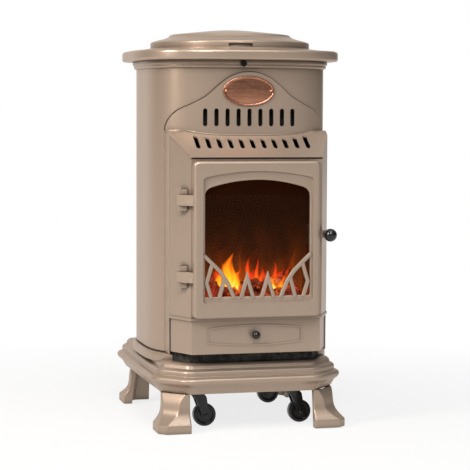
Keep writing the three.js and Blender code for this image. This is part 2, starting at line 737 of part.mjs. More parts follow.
// An opening with an arched top: square lower corners, eased upper ones.
const arched = (x0, x1, low, sideTop, rise, corner) => {
  const [middle, half] = [(x0 + x1) / 2, (x1 - x0) / 2];
  const crown = (x) => sideTop + rise * (1 - ((x - middle) / half) ** 2);
  const ease = (x, turn) => new THREE.QuadraticBezierCurve(
    new THREE.Vector2(x, sideTop - corner), new THREE.Vector2(x, crown(x)),
    new THREE.Vector2(x + turn * corner, crown(x + turn * corner)),
  ).getPoints(4).map((p) => [p.x, p.y]);
  const span = 2 * (half - corner);
  const top = Array.from({ length: 9 }, (_, i) => x1 - corner - (span * (i + 1)) / 10)
    .map((x) => [x, crown(x)]);
  return [[x0, low], [x1, low], ...ease(x1, -1), ...top, ...ease(x0, 1).reverse()];
};
const windowX = doorOffset + 0.5;
const windowBottom = doorBottom + windowFoot;
const windowTop = windowBottom + windowSide;
const doorWindow = arched(
  windowX - windowHalfX, windowX + windowHalfX, windowBottom, windowTop, windowArch, windowCorner,
);
const recess = arched(
  doorLeft + recessMargin + 4, doorRight - recessMargin, doorBottom + recessFoot,
  doorTop - recessFoot - 2, windowArch * 0.7, 4,
);
const rearPocket = block(
  doorLeft + doorWall, doorRight - doorWall, doorFace + doorPlate, doorBack + 1,
  doorBottom + doorWall, doorTop - doorWall,
);
// The grate across the window's foot: [x, height] runs of bars, mirrored about the window's middle.
const grateRuns = [
  [
    [windowHalfX + 2, 78], [windowHalfX - 15, 62], [windowHalfX - 31, 46],
    [windowHalfX - 44, 27], [windowHalfX - 57, -3],
  ],
  [[windowHalfX - 38, 33], [windowHalfX - 28, -3]],
  [[windowHalfX - 14, 60], [windowHalfX - 3.5, 26], [windowHalfX - 13, -3]],
  [[32, -3], [20, 35]],
  [[20, 35], [8, -3]],
];
const barBetween = ([x0, z0], [x1, z1]) => {
  const length = Math.hypot(x1 - x0, z1 - z0);
  const [sx, sz] = [(-(z1 - z0) / length) * (barWidth / 2), ((x1 - x0) / length) * (barWidth / 2)];
  const [ex, ez] = [((x1 - x0) / length) * 1.5, ((z1 - z0) / length) * 1.5];
  const outline = [
    [x0 - ex + sx, z0 - ez + sz], [x0 - ex - sx, z0 - ez - sz],
    [x1 + ex - sx, z1 + ez - sz], [x1 + ex + sx, z1 + ez + sz],
  ].map(([x, z]) => [windowX + x, windowBottom + z]);
  return prism(outline, 'y', doorFace + recessDepth, doorFace + recessDepth + barDepth);
};
const mirrored = (run) => run.map(([x, z]) => [-x, z]);
const bars = grateRuns.flatMap((run) => [run, mirrored(run)])
  .flatMap((run) => run.slice(1).map((point, i) => barBetween(run[i], point)));
const grate = join(...bars).intersect(
  block(windowX - windowHalfX - 1, windowX + windowHalfX + 1, -beyond, 0, windowBottom - 1, doorTop));

// Straps reach from the door's edge to a knuckle round the hinge pin.
const strapOutline = [
  [-hingePinX - 4.2, -hingePinY - 5], [doorLeft + 1, doorBack - doorThickness * 0.75],
  [doorLeft + 1, doorBack - doorThickness * 0.75 + strapThickness * 1.6],
  [-hingePinX + 5.5, -hingePinY - 0.5],
];
const onHingePin = (low, high, radius) => (
  bar([-hingePinX, -hingePinY, low], [-hingePinX, -hingePinY, high], radius));
const hingeHeights = [['upper', doorBottom + upperHinge], ['lower', doorBottom + lowerHinge]];
const straps = hingeHeights.map(([, z]) => join(
  onHingePin(z - strapHeight / 2, z + strapHeight / 2, knuckleRadius),
  prism(strapOutline, 'z', z - strapHeight / 2, z + strapHeight / 2),
));
const strapBores = hingeHeights.map(([, z]) => (
  onHingePin(z - strapHeight, z + strapHeight, hingePinRadius + hingeGap)));
const doorKnobX = doorRight + doorKnobOut;
const doorKnobZ = doorBottom + doorKnobRise;
const lugThickness = 8;
const lugRadius = 7;
const lugFront = doorBack - lugThickness - 5;
const lugBack = lugFront + lugThickness;
const knobLug = join(
  block(doorRight - 2, doorKnobX, lugFront, lugBack, doorKnobZ - lugRadius, doorKnobZ + lugRadius),
  bar([doorKnobX, lugFront, doorKnobZ], [doorKnobX, lugBack, doorKnobZ], lugRadius, 20),
);
const doorFrame = join(
  cut(
    doorBlank, rearPocket, prism(recess, 'y', doorFace - 1, doorFace + recessDepth),
    prism(doorWindow, 'y', doorFace - 5, doorBack + 5),
  ),
  grate, ...straps, knobLug,
);
const knobTail = knobStemRadius * 0.7;
const knobBore = bar(
  [doorKnobX, lugFront - 1, doorKnobZ], [doorKnobX, lugBack + 1, doorKnobZ], knobTail + seatGap,
);
add('door_frame', cut(doorFrame, ...strapBores, knobBore), enamel, door);

const glassBack = doorFace + doorPlate + seatGap + glassThickness;
const glass = prism(
  arched(windowX - windowHalfX - glassLap, windowX + windowHalfX + glassLap, windowBottom - glassLap,
    windowTop + glassLap * 0.6, windowArch, windowCorner),
  'y', glassBack - glassThickness, glassBack,
);
add('door_glass', glass, darkGlass, door);
const clipY = glassBack + seatGap;
for (const [name, side] of [['glass_clip_left', -1], ['glass_clip_right', 1]]) {
  const edge = windowX + side * (windowHalfX + glassLap);
  const overGlass = edge - side * glassLap * 0.8;
  const [x0, x1] = [overGlass, overGlass + side * clipWidth].sort((a, b) => a - b);
  const clip = join(
    block(x0, x1, clipY, clipY + clipThickness, windowBottom + 30, windowTop - 20),
    block(side > 0 ? edge + seatGap : x0, side > 0 ? x1 : edge - seatGap,
      doorFace + doorPlate + seatGap, clipY + 0.5, windowBottom + 40, windowTop - 30),
  );
  add(name, clip, zinc, door);
}
const ballY = -boxFront - doorKnobReach;
const doorKnob = join(
  ball([doorKnobX, ballY, doorKnobZ], doorKnobRadius, 16, 9),
  bar([doorKnobX, ballY, doorKnobZ], [doorKnobX, lugFront - seatGap, doorKnobZ], knobStemRadius),
  bar([doorKnobX, lugFront - 1, doorKnobZ], [doorKnobX, lugBack, doorKnobZ], knobTail),
);
add('door_knob', doorKnob, blackGloss, door);

// ---- Hinge brackets on the box's left chamfer, each with two lugs, and their pins ----
const chamferAt = (y) => boxHalfX + ((shoulderX - boxHalfX) * (boxFront + y)) / (boxFront - shoulderY);
for (const [where, z] of hingeHeights) {
  const padRear = -hingePinY + 14;
  const padFront = -hingePinY - 8;
  const plan = [
    [-chamferAt(padRear) - seatGap, padRear], [-chamferAt(padFront) - seatGap, padFront],
    [-chamferAt(padFront) - 3, padFront - 0.5], [-hingePinX + 5, -hingePinY - 6],
    [-hingePinX - 3, -hingePinY - 6.2], [-hingePinX - knuckleRadius, -hingePinY],
    [-hingePinX - 5, -hingePinY + 5],
  ];
  const backPad = [
    [-chamferAt(padRear) - seatGap, padRear], [-chamferAt(padFront + 6) - seatGap, padFront + 6],
    [-chamferAt(padFront + 6) - 1.6, padFront + 5.4], [-chamferAt(padRear) - 1.6, padRear - 0.6],
  ];
  const lug = (low) => prism(plan, 'z', low, low + lugHeight);
  const bracket = join(
    lug(z + strapHeight / 2 + seatGap),
    lug(z - strapHeight / 2 - seatGap - lugHeight),
    prism(backPad, 'z', z - strapHeight / 2 - lugHeight, z + strapHeight / 2 + lugHeight),
  );
  const bore = onHingePin(z - 3 * strapHeight, z + 3 * strapHeight, hingePinRadius + hingeGap);
  add(`hinge_bracket_${where}`, cut(bracket, bore), enamel);
  const pinHalf = strapHeight / 2 + lugHeight + seatGap;
  const pin = join(
    onHingePin(z - pinHalf, z + pinHalf + 1, hingePinRadius),
    onHingePin(z + pinHalf + seatGap, z + pinHalf + 2.5, hingePinRadius + 1.8),
  );
  add(`hinge_pin_${where}`, pin, enamel);
}

// ---- Firebox: liner, burner tray, coals, pilot, magnet catch, gas pipe ----
const linerFront = -boxFront + boxSheet + seatGap;
const linerBack = linerFront + fireboxDepth;
const linerTop = openingFoot + fireboxHeight;
const inside = fireboxHalfX - seatGap;
const liner = cut(
  join(
    block(-inside, inside, linerFront, linerBack, openingFoot, linerTop),
    block(-inside - 8, inside + 8, linerFront, linerFront + fireboxSheet, openingFoot - 8, linerTop + 3),
  ),
  block(-inside + fireboxSheet, inside - fireboxSheet, linerFront - 5, linerBack - fireboxSheet,
    openingFoot + fireboxSheet, linerTop - fireboxSheet),
);
const pipeX = 60;
const pipeZ = openingFoot + 14;
const pipeHole = (y) => bar([pipeX, y - 9, pipeZ], [pipeX, y + 9, pipeZ], pipeRadius + 2);
add('firebox_liner', cut(liner, pipeHole(linerBack)), sootBlack);
const trayBottom = openingFoot + fireboxSheet + seatGap;
const trayBack = linerBack - fireboxSheet - 6;
const trayFront = trayBack - trayDepth;
const trayRim = trayBottom + trayHeight;
const tray = cut(
  block(-trayHalfX, trayHalfX, trayFront, trayBack, trayBottom, trayRim),
  block(-trayHalfX + trayWall, trayHalfX - trayWall, trayFront + trayWall, trayBack - trayWall,
    trayBottom + trayWall, trayRim + 1),
  pipeHole(trayBack),
);
add('burner_tray', tray, sootBlack);
const coalFoot = trayBottom + trayWall + seatGap;
const wellHalfX = trayHalfX - trayWall - seatGap;
const wellFront = trayFront + trayWall + seatGap;
const wellBack = trayBack - trayWall - 12;
const coalBase = block(-wellHalfX, wellHalfX, wellFront, wellBack, coalFoot, trayRim - 2);
const coals = [];
for (let row = 0; row < coalRows; row += 1) {
  for (let column = 0; column < coalColumns; column += 1) {
    const wobble = Math.sin(column * 2.1 + row * 1.3);
    const radius = coalRadius * (1 + 0.12 * wobble);
    const lump = new THREE.DodecahedronGeometry(radius);
    lump.scale(1.12, 0.85, 0.9).rotateY(column * 0.9).rotateZ(row + column * 1.7);
    const across = trayHalfX - coalRadius - 6;
    lump.translate(
      -across + (column * 2 * across) / (coalColumns - 1), trayFront + 18 + row * coalRowPitch,
      trayRim + 4 + row * coalRowRise + 3 * wobble,
    );
    coals.push(solidOf(lump));
  }
}
const coalSpace = join(
  block(-wellHalfX, wellHalfX, wellFront, wellBack, trayRim - 6, trayRim + 1),
  block(-trayHalfX, trayHalfX, trayFront - 6, trayBack - 4, trayRim + seatGap, trayRim + 60),
);
add('coal_bed', join(coalBase, join(...coals).intersect(coalSpace)), ember);

const pilotX = (fireboxHalfX - fireboxSheet + trayHalfX) / 2;
const pilotHalf = (fireboxHalfX - fireboxSheet - trayHalfX) / 2 - 2;
const pilot = join(
  block(pilotX - pilotHalf, pilotX + pilotHalf, trayFront + 10, trayFront + 30, trayBottom, trayBottom + 4),
  bar([pilotX, trayFront + 16, trayBottom + 3], [pilotX, trayFront + 16, trayBottom + 38], 3, 10),
  bar([pilotX, trayFront + 25, trayBottom + 3], [pilotX, trayFront + 25, trayBottom + 46], 2, 10),
);
add('pilot_sensor', pilot, brass);

const catchX = fireboxHalfX - fireboxSheet - seatGap * 2;
const magnetCatch = block(
  catchX - catchWidth, catchX, linerFront, linerFront + catchDepth,
  doorKnobZ - catchHeight / 2, doorKnobZ + catchHeight / 2,
);
add('magnet_catch', magnetCatch, zinc);

// A tube of a round section along a smooth path.
const tube = (points, radius, sides, steps) => {
  const path = new THREE.CatmullRomCurve3(points.map((p) => new THREE.Vector3(...p)), false, 'centripetal');
  const section = new THREE.Shape(Array.from({ length: sides }, (_, i) => {
    const angle = (i / sides) * 2 * Math.PI;
    return new THREE.Vector2(radius * Math.cos(angle), radius * Math.sin(angle));
  }));
  return solidOf(new THREE.ExtrudeGeometry(section, { steps, bevelEnabled: false, extrudePath: path }));
};

// ---- Top: collar, ring, control panel, lid ----
const collarRings = [
  [seatGap, collarTop], [collarOut, collarTop], [collarOut, collarTop - 6], [collarOut - 2.5, collarTop - 8],
  [collarOut - 2.5, collarTop - 12], [collarOut - 6, collarBottom], [seatGap, collarBottom],
].map(([d, z]) => atHeight(oval(d), z));
const screwZ = collarTop - screwRadius - seatGap;
const shankRadius = screwRadius * 0.45;
const screwHole = bar(
  [screwX, -drumFrontDepth - 20, screwZ], [screwX, -drumFrontDepth + 9, screwZ], shankRadius + seatGap, 10,
);
add('collar', cut(skinned(collarRings, true), screwHole), enamel);
const screwFace = -drumFrontDepth - collarOut - seatGap;
const screw = join(
  bar([screwX, screwFace - 3, screwZ], [screwX, screwFace, screwZ], screwRadius, 18),
  bar([screwX, screwFace - 2, screwZ], [screwX, -drumFrontDepth - seatGap, screwZ], shankRadius, 10),
);
add('collar_screw', screw, blackGloss);

const ringRings = [
  [oval(-8), ringBottom], [oval(ringOut - 5), ringBottom], [oval(ringOut - 1.3), ringBottom + 2],
  [oval(ringOut), ringBottom + 6], [oval(ringOut), ringTop - 7], [oval(ringOut - 1.8), ringTop - 2.5],
  [oval(ringOut - 6), ringTop], [round(lidRadius + 7), ringTop + ringCrown - 1],
  [round(lidRadius), ringTop + ringCrown], [round(ringHole), ringTop + ringCrown],
  [round(ringHole), ringTop - 4],
].map(([outline, z]) => atHeight(outline, z));
add('top_ring', skinned(ringRings, true), enamel);

const panelTop = ringBottom - seatGap;
const panelBottom = drumTop + seatGap;
const controlPanel = cut(
  prism(oval(-seatGap * 2), 'z', panelBottom, Math.max(panelTop, panelBottom + panelSheet)),
  bar(
    [controlKnobX, controlsY, panelBottom - 5], [controlKnobX, controlsY, panelTop + 5], spindleRadius + 2,
  ),
  bar([igniterX, controlsY, panelBottom - 5], [igniterX, controlsY, panelTop + 5], buttonRadius + 1.2),
);
add('control_panel', controlPanel, blackPlastic);

const valveTop = panelBottom - seatGap;
const valveHalf = valveSize / 2;
const portZ = valveTop - 20;
const portEnd = valveHalf + 12; // the ports' ends, from the valve's middle
const burnerPortX = controlKnobX - 10;
const valve = cut(
  join(
    block(controlKnobX - valveHalf, controlKnobX + valveHalf, controlsY - valveHalf, controlsY + valveHalf,
      valveTop - valveSize, valveTop),
    bar([controlKnobX + valveHalf - 1, controlsY, portZ], [controlKnobX + portEnd, controlsY, portZ], 7, 12),
    bar([burnerPortX, controlsY + valveHalf - 1, portZ], [burnerPortX, controlsY + portEnd, portZ], 7, 12),
  ),
  bar(
    [controlKnobX, controlsY, valveTop - 12], [controlKnobX, controlsY, valveTop + 5],
    spindleRadius + hingeGap,
  ),
);
add('gas_valve', valve, brass);
const panelFaceZ = Math.max(panelTop, panelBottom + panelSheet);
const knobFoot = panelFaceZ + 0.8;
const knobRing = Array.from({ length: 24 }, (_, i) => {
  const angle = (i / 24) * 2 * Math.PI;
  const r = controlKnobRadius * (i % 2 ? 1 : 0.95);
  return [controlKnobX + r * Math.cos(angle), controlsY + r * Math.sin(angle)];
});
const gripHalf = controlKnobRadius * 0.9;
const controlKnob = join(
  prism(knobRing, 'z', knobFoot, knobFoot + controlKnobHeight * 0.55),
  block(controlKnobX - 4, controlKnobX + 4, controlsY - gripHalf, controlsY + gripHalf,
    knobFoot, knobFoot + controlKnobHeight),
  bar([controlKnobX, controlsY, valveTop - 11], [controlKnobX, controlsY, knobFoot + 2], spindleRadius),
);
add('control_knob', controlKnob, blackPlastic);

const plungerRadius = buttonRadius - 1.5;
const plungerFoot = valveTop - 16; // the bottom of the bore that the plunger slides in
const onIgniter = (low, high, radius) => (
  bar([igniterX, controlsY, low], [igniterX, controlsY, high], radius, 20));
const igniter = cut(
  onIgniter(valveTop - 42, valveTop, igniterRadius),
  onIgniter(plungerFoot, valveTop + 5, plungerRadius + hingeGap),
);
add('igniter_body', igniter, blackPlastic);
const buttonFoot = valveTop + buttonTravel + 2 * seatGap;
const button = join(
  onIgniter(buttonFoot, buttonFoot + buttonHead, buttonRadius),
  onIgniter(plungerFoot + buttonTravel + 1, buttonFoot + 1, plungerRadius),
);
add('igniter_button', button, blackGloss);

// Lid: [radius, height above its foot] of the outside; the inside runs a sheet's thickness below it.
const lidOuter = [
  [lidRadius, 0], [lidRadius, lidBand], [lidRadius - 2, lidBand + 2], [lidRadius - 9, lidBand + 4.5],
  [lidRadius - 23.5, lidBand + 8.5], [lidRadius - 36.5, lidBand + 14],
  [lidRadius - 42.5, lidBand + 17.5], [78, lidBand + 21.5], [40, lidBand + 25.6], [0, lidBand + lidDome],
];
const lidInner = [
  [0, lidBand + lidDome - lidSheet], [lidRadius - 45.5, lidBand + 17 - lidSheet],
  [lidRadius - 11.5, lidBand + 5.5 - lidSheet], [lidRadius - lidSheet, lidBand - 2],
  [lidRadius - lidSheet, 0],
];
const lidShell = turned([...lidOuter, ...lidInner, lidOuter[0]], ovalSides).translate([0, 0, lidBottom]);
const lidPinZ = lidBottom + 4.5;
const onLidPin = (x0, x1, radius) => bar([x0, lidHingeY, lidPinZ], [x1, lidHingeY, lidPinZ], radius);
const tongueHalf = lidTongueWidth / 2;
const tongueThickness = 7;
const curlRadius = tongueThickness / 2 + lidPinRadius * 0.5;
const tongue = join(
  block(-tongueHalf, tongueHalf, lidRadius - lidSheet - 0.5, lidHingeY,
    lidPinZ - tongueThickness / 2, lidPinZ + tongueThickness / 2),
  onLidPin(-tongueHalf, tongueHalf, curlRadius),
);
const lidPinBore = onLidPin(-lidHingeWidth, lidHingeWidth, lidPinRadius + hingeGap);
const notchAngle = THREE.MathUtils.degToRad(-90 - notchTurn);
const notch = block(-notchWidth / 2, notchWidth / 2, -6, 9, 0.6 + lidBottom, lidBottom + notchHeight)
  .rotate([0, 0, -notchTurn])
  .translate([lidRadius * Math.cos(notchAngle), lidRadius * Math.sin(notchAngle), 0]);
const lid = cut(join(cut(lidShell, notch), tongue), lidPinBore);
add('lid', lid, enamel);
const lugOuter = lidHingeWidth / 2;
const lugInner = tongueHalf + 0.5;
const hingeFoot = ringTop + ringCrown - 1.5;
const lidLugs = [-1, 1].map((side) => {
  const [x0, x1] = [side * lugInner, side * lugOuter].sort((a, b) => a - b);
  return join(
    onLidPin(x0, x1, curlRadius),
    block(x0, x1, lidHingeY - 3, lidHingeY + 4, hingeFoot + 1, lidPinZ),
  );
});
const leaf = block(-lugOuter, lugOuter, lidRadius + 2, lidHingeY + 8, hingeFoot, hingeFoot + 2.2);
const lidHinge = cut(
  join(leaf, ...lidLugs), lidPinBore, skinned(ringRings, true).translate([0, 0, seatGap]),
  onLidPin(-lugInner, lugInner, curlRadius + 0.8),
);
add('lid_hinge', lidHinge, enamel);
add('lid_hinge_pin', onLidPin(-lugOuter, lugOuter, lidPinRadius), zinc);

// ---- Gas bottle, regulator with tap, hose and burner pipe ----
const bottleProfile = [
  [0, 6], [60, 6], [bottleRadius - 22, 0], [bottleRadius - 14, 0], [bottleRadius - 8, 10],
  [bottleRadius - 2, 22], [bottleRadius, 40], [bottleRadius, bottleHeight - 95],
  [bottleRadius - 8, bottleHeight - 68], [bottleRadius - 34, bottleHeight - 42],
  [bottleRadius - 70, bottleHeight - 28], [bottleNeck, bottleHeight - 24], [bottleNeck, bottleHeight],
  [0, bottleHeight],
];
add('gas_bottle', turned(bottleProfile, 24).translate([0, bottleY, bottleBottom]), bottlePaint);
const regulatorBottom = bottleTop + seatGap;
const regulatorTop = regulatorBottom + regulatorHeight;
const outletZ = regulatorBottom + 14;
const outletX = regulatorRadius + 22;
const tapStemRadius = 4;
const onBottle = (low, high, radius, sides) => bar([0, bottleY, low], [0, bottleY, high], radius, sides);
const regulator = cut(
  join(
    onBottle(regulatorBottom, regulatorTop, regulatorRadius, 24),
    bar([0, bottleY, outletZ], [outletX, bottleY, outletZ], 8, 12),
  ),
  onBottle(regulatorTop - 8, regulatorTop + 5, tapStemRadius + hingeGap),
);
add('regulator', regulator, zinc);
const tapFoot = regulatorTop + 0.8;
const tap = join(
  block(-24, 24, bottleY - 6, bottleY + 6, tapFoot, tapFoot + 10),
  onBottle(tapFoot - 8, tapFoot + 2, tapStemRadius),
);
add('regulator_tap', tap, blackPlastic);

const hoseStart = outletX + seatGap;
const hoseEndX = controlKnobX + portEnd + seatGap;
const hose = tube([
  [hoseStart, bottleY, outletZ], [hoseStart + 16, bottleY, outletZ],
  [hoseStart + 40, bottleY - 8, outletZ + 14], [hoseStart + 44, controlsY + 60, outletZ + 46],
  [hoseStart + 26, controlsY + 34, portZ - 14], [hoseEndX + 32, controlsY + 16, portZ - 2],
  [hoseEndX + 14, controlsY, portZ], [hoseEndX, controlsY, portZ],
], hoseRadius, 8, 24);
add('gas_hose', hose, hoseRubber);
const pipeStartY = controlsY + portEnd + seatGap;
const pipe = tube([
  [burnerPortX, pipeStartY, portZ], [burnerPortX, pipeStartY + 8, portZ],
  [burnerPortX - 4, pipeStartY + 10, portZ - 24], [burnerPortX + 8, controlsY - 20, bottleTop + 10],
  [pipeX - 10, linerBack + 9, linerTop - 10], [pipeX, linerBack + 8, linerTop - 60],
  [pipeX, linerBack + 8, pipeZ + 40], [pipeX, linerBack + 7, pipeZ + 8],
  [pipeX, linerBack + 1, pipeZ], [pipeX, trayBack - 6, pipeZ],
], pipeRadius, 6, 30);
add('gas_pipe', pipe, brass);

// ---- Rear door: a curved panel on a vertical pin, with air slots and a knob ----
const rearDoor = new THREE.Group();
heater.add(rearDoor);
const rearPinX = rearHalfX + rearGap / 2;
const rearPinY = rearDepthAt(rearPinX) + rearKnuckle + 1;
const rearWindow = block(-rearHalfX, rearHalfX, coreY, boxFront, rearBottom, rearTop);
const rearSlots = [];
const rearSlotHeights = [
  rearBottom + rearSlotFoot, rearBottom + rearSlotFoot + rearSlotPitch,
  rearTop - rearSlotHead - rearSlotPitch, rearTop - rearSlotHead,
];
for (const z of rearSlotHeights) {
  const slot = rectangle(-rearSlotHalfX, rearSlotHalfX, z - rearSlotHeight / 2, z + rearSlotHeight / 2);
  rearSlots.push(prism(rounded(slot, rearSlotHeight * 0.49, 2), 'y', coreY, boxFront));
}
const rearPanel = cut(wrapShell.intersect(rearWindow), ...rearSlots);
const knuckleHeights = [rearBottom + 70, rearTop - 70];
const onRearPin = (low, high, radius) => bar([rearPinX, rearPinY, low], [rearPinX, rearPinY, high], radius);
// A point on the drum's skin, `reach` from the rear pin to the side and `lift` out from the skin.
const atSkin = (reach, lift) => [rearPinX + reach, rearDepthAt(rearPinX + reach) + lift];
const knuckleHalf = 14;
const knuckleWing = [
  [rearPinX, rearPinY - 2], [rearPinX, rearPinY + 3], atSkin(-16, 1), atSkin(-16, -0.5), atSkin(-6, -0.5),
];
const doorKnuckles = knuckleHeights.map((z) => join(
  onRearPin(z - knuckleHalf, z + knuckleHalf, rearKnuckle),
  prism(knuckleWing, 'z', z - knuckleHalf, z + knuckleHalf),
));
const rearBore = onRearPin(rearBottom, rearTop, rearPinRadius + hingeGap);
add('rear_door', cut(join(rearPanel, ...doorKnuckles), rearBore), enamel, rearDoor);
const handleZ = rearBottom + rearHeight / 2;
const handleX = -rearHalfX + rearHandleInset;
const handleY = rearDepthAt(handleX);
const handle = join(
  bar([handleX, handleY + 7, handleZ], [handleX, handleY + 17, handleZ], rearHandleRadius, 20),
  bar([handleX, handleY + 2, handleZ], [handleX, handleY + 8, handleZ], rearHandleRadius * 0.55, 16),
);
add('rear_door_knob', handle, blackGloss, rearDoor);
const earHalf = 5;
const earPinHalf = knuckleHalf + earHalf + 1.5;
const earWing = [
  [rearPinX, rearPinY - 3], [rearPinX, rearPinY + 4], atSkin(14, 3), atSkin(14, -9), atSkin(4, -4),
];
const hingeEar = (z) => join(
  onRearPin(z - earHalf, z + earHalf, rearEar),
  prism(earWing, 'z', z - earHalf, z + earHalf),
);
knuckleHeights.forEach((z, i) => {
  const ears = join(
    hingeEar(z + earPinHalf - 1), hingeEar(z - earPinHalf + 1),
    onRearPin(z - earPinHalf, z + earPinHalf, rearPinRadius),
  );
  const offSkin = prism(oval(seatGap), 'z', z - 2 * earPinHalf, z + 2 * earPinHalf);
  add(`rear_hinge_${i ? 'upper' : 'lower'}`, cut(ears, offSkin), zinc);
});

export default heater;
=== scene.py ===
# %% [markdown]
# # A portable gas cabinet heater
#
# The heater is a small stove on castors: an oval drum of enamelled steel, a box front with an arched
# glazed door, a slotted canopy, a moulded plinth on four flared feet, and a round lid on an
# overhanging top ring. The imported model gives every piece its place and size. This lesson gives each
# one its real surface, as numpy sheets, and its finish, as shader nodes.

import math

import bmesh
import bpy
import numpy as np
from mathutils import Matrix, Vector


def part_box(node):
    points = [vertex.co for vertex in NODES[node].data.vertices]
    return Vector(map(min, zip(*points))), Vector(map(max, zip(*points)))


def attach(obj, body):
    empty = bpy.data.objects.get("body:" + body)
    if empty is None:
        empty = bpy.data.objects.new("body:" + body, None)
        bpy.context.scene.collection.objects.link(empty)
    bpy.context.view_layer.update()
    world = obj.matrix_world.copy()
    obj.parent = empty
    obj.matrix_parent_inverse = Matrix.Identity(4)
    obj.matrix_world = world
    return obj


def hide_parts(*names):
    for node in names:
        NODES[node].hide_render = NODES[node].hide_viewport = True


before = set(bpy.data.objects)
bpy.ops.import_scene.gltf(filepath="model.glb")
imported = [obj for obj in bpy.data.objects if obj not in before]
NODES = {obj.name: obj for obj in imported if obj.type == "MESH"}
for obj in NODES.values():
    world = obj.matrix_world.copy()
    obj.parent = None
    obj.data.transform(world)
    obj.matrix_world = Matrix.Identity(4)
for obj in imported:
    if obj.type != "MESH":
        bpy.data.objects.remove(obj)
SCENE = bpy.context.scene
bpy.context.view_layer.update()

# %% [markdown]
# ## Sizes
#
# The sizes are the model's own, in millimetres, with the front towards -Y. The model's middle is
# moved a little so that its box is centred, and the front of the door glass tells by how much.

# %% Sizes in millimetres
MM = 0.001
DRUM_X, DRUM_FRONT, DRUM_REAR, DRUM_POWER, SHEET = 175.5, 151.0, 180.0, 3.5, 1.5
BOX_FRONT, BOX_X, SHOULDER_X, SHOULDER_Y = 216.0, 127.5, 156.0, 155.0
PLINTH_X, PLINTH_FRONT, PLINTH_REAR = 170.0, 190.0, 212.0
FRONT_CLIP, REAR_ROUND, PLINTH_FILLET = 46.0, 9.0, 22.0
DOOR_LEFT, DOOR_RIGHT, DOOR_BACK, DOOR_THICK = -127.0, 118.0, -216.6, 21.7
WINDOW_X, WINDOW_HALF, WINDOW_TALL, WINDOW_RISE = -4.0, 102.0, 200.0, 18.0
RECESS_LEFT, RECESS_RIGHT, RECESS_LOW, RECESS_TOP, RECESS_RISE = 19.0, 15.0, 30.0, 32.0, 12.6
HINGE_X, HINGE_Y = -146.0, -200.0
LID_R = 157.5
SLOPE = 0.672  # of the canopy's roof, rise over run


def height_of(node):
    """Lowest and highest z of a CAD node, in millimetres."""
    low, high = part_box(node)
    return low.z / MM, high.z / MM


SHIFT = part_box("door_glass")[0].y / MM + 228.0
PLINTH_LOW, SEAT_TOP = height_of("plinth")
DECK = SEAT_TOP - 12.0
DRUM_LOW, DRUM_TOP = height_of("cabinet_wrap")
DOOR_LOW, DOOR_TOP = height_of("door_frame")
PANEL_LOW, PANEL_TOP = height_of("lower_panel")
LIP, ARCH_TOP = height_of("canopy_fascia")
RING_LOW = height_of("top_ring")[0]
LID_LOW = height_of("lid")[0]
COLLAR_LOW = height_of("collar")[0]
EAVES = LIP + 4.0
SHOULDER = EAVES + 49.0
WINDOW_LOW = DOOR_LOW + 41.0
print(f"shift {SHIFT:.2f} mm, drum {DRUM_LOW:.1f} to {DRUM_TOP:.1f}, door {DOOR_LOW:.1f} to {DOOR_TOP:.1f}")

# %% [markdown]
# ## From arrays to pieces
#
# A surface here is a grid of points, rows by columns, computed at once for the whole array. One
# helper turns grids into faces, one welds them into a mesh, and one gives the piece its body,
# finish and shading. Edges sharper than the given angle stay crisp, the rest is shaded smooth.

# %% Grid and mesh helpers
def grid(points, loop_rows=False, loop_columns=False, keep=None):
    """Faces of a grid of points (rows, columns, 3): each cell joins its four corners. keep masks cells."""
    rows, columns = points.shape[:2]
    r = np.arange(rows if loop_rows else rows - 1)
    c = np.arange(columns if loop_columns else columns - 1)
    rr, cc = np.meshgrid(r, c, indexing="ij")
    if keep is not None:
        rr, cc = rr[keep], cc[keep]
    below, above = rr * columns, ((rr + 1) % rows) * columns
    left, right = cc, (cc + 1) % columns
    faces = np.stack([below + left, below + right, above + right, above + left], -1).reshape(-1, 4)
    return points.reshape(-1, 3), faces.tolist()


def looped(rings):
    """A closed skin of rings: the last ring joins the first, and each ring closes on itself."""
    return grid(np.asarray(rings), loop_rows=True, loop_columns=True)


def capped(points):
    """A closed tube of rings (rings, points, 3), its two ends filled with one face each."""
    verts, faces = grid(points, loop_columns=True)
    rings, count = points.shape[:2]
    return verts, faces + [list(range(count))[::-1], list(range((rings - 1) * count, rings * count))]


def at(outline, z):
    """A flat outline (n, 2) of x and y, lifted to height z."""
    return np.column_stack([outline, np.full(len(outline), z)])


def prism(outline, axis, low, high):
    """A flat outline (n, 2) pushed along an axis: z takes (x, y), y takes (x, z), x takes (y, z)."""
    order = {"z": (0, 1, 2), "y": (0, 2, 1), "x": (2, 0, 1)}[axis]
    return capped(np.array([at(np.asarray(outline, float), level)[:, order] for level in (low, high)]))


def slab(outside, inside, keep=None, loop_columns=False):
    """A thick sheet from two matching grids, with a wall between them along every open edge."""
    outer, faces = grid(outside, loop_columns=loop_columns, keep=keep)
    faces, count = np.array(faces), len(outer)
    edges = np.concatenate([faces[:, [i, (i + 1) % 4]] for i in range(4)])
    single = ~np.isin(edges[:, 0] * count + edges[:, 1], edges[:, 1] * count + edges[:, 0])
    a, b = edges[single].T
    walls = np.stack([b, a, a + count, b + count], -1)
    inner = inside.reshape(-1, 3)
    return np.vstack([outer, inner]), np.vstack([faces, faces[:, ::-1] + count, walls]).tolist()


WELD = 2e-6  # metres: points closer than this are one


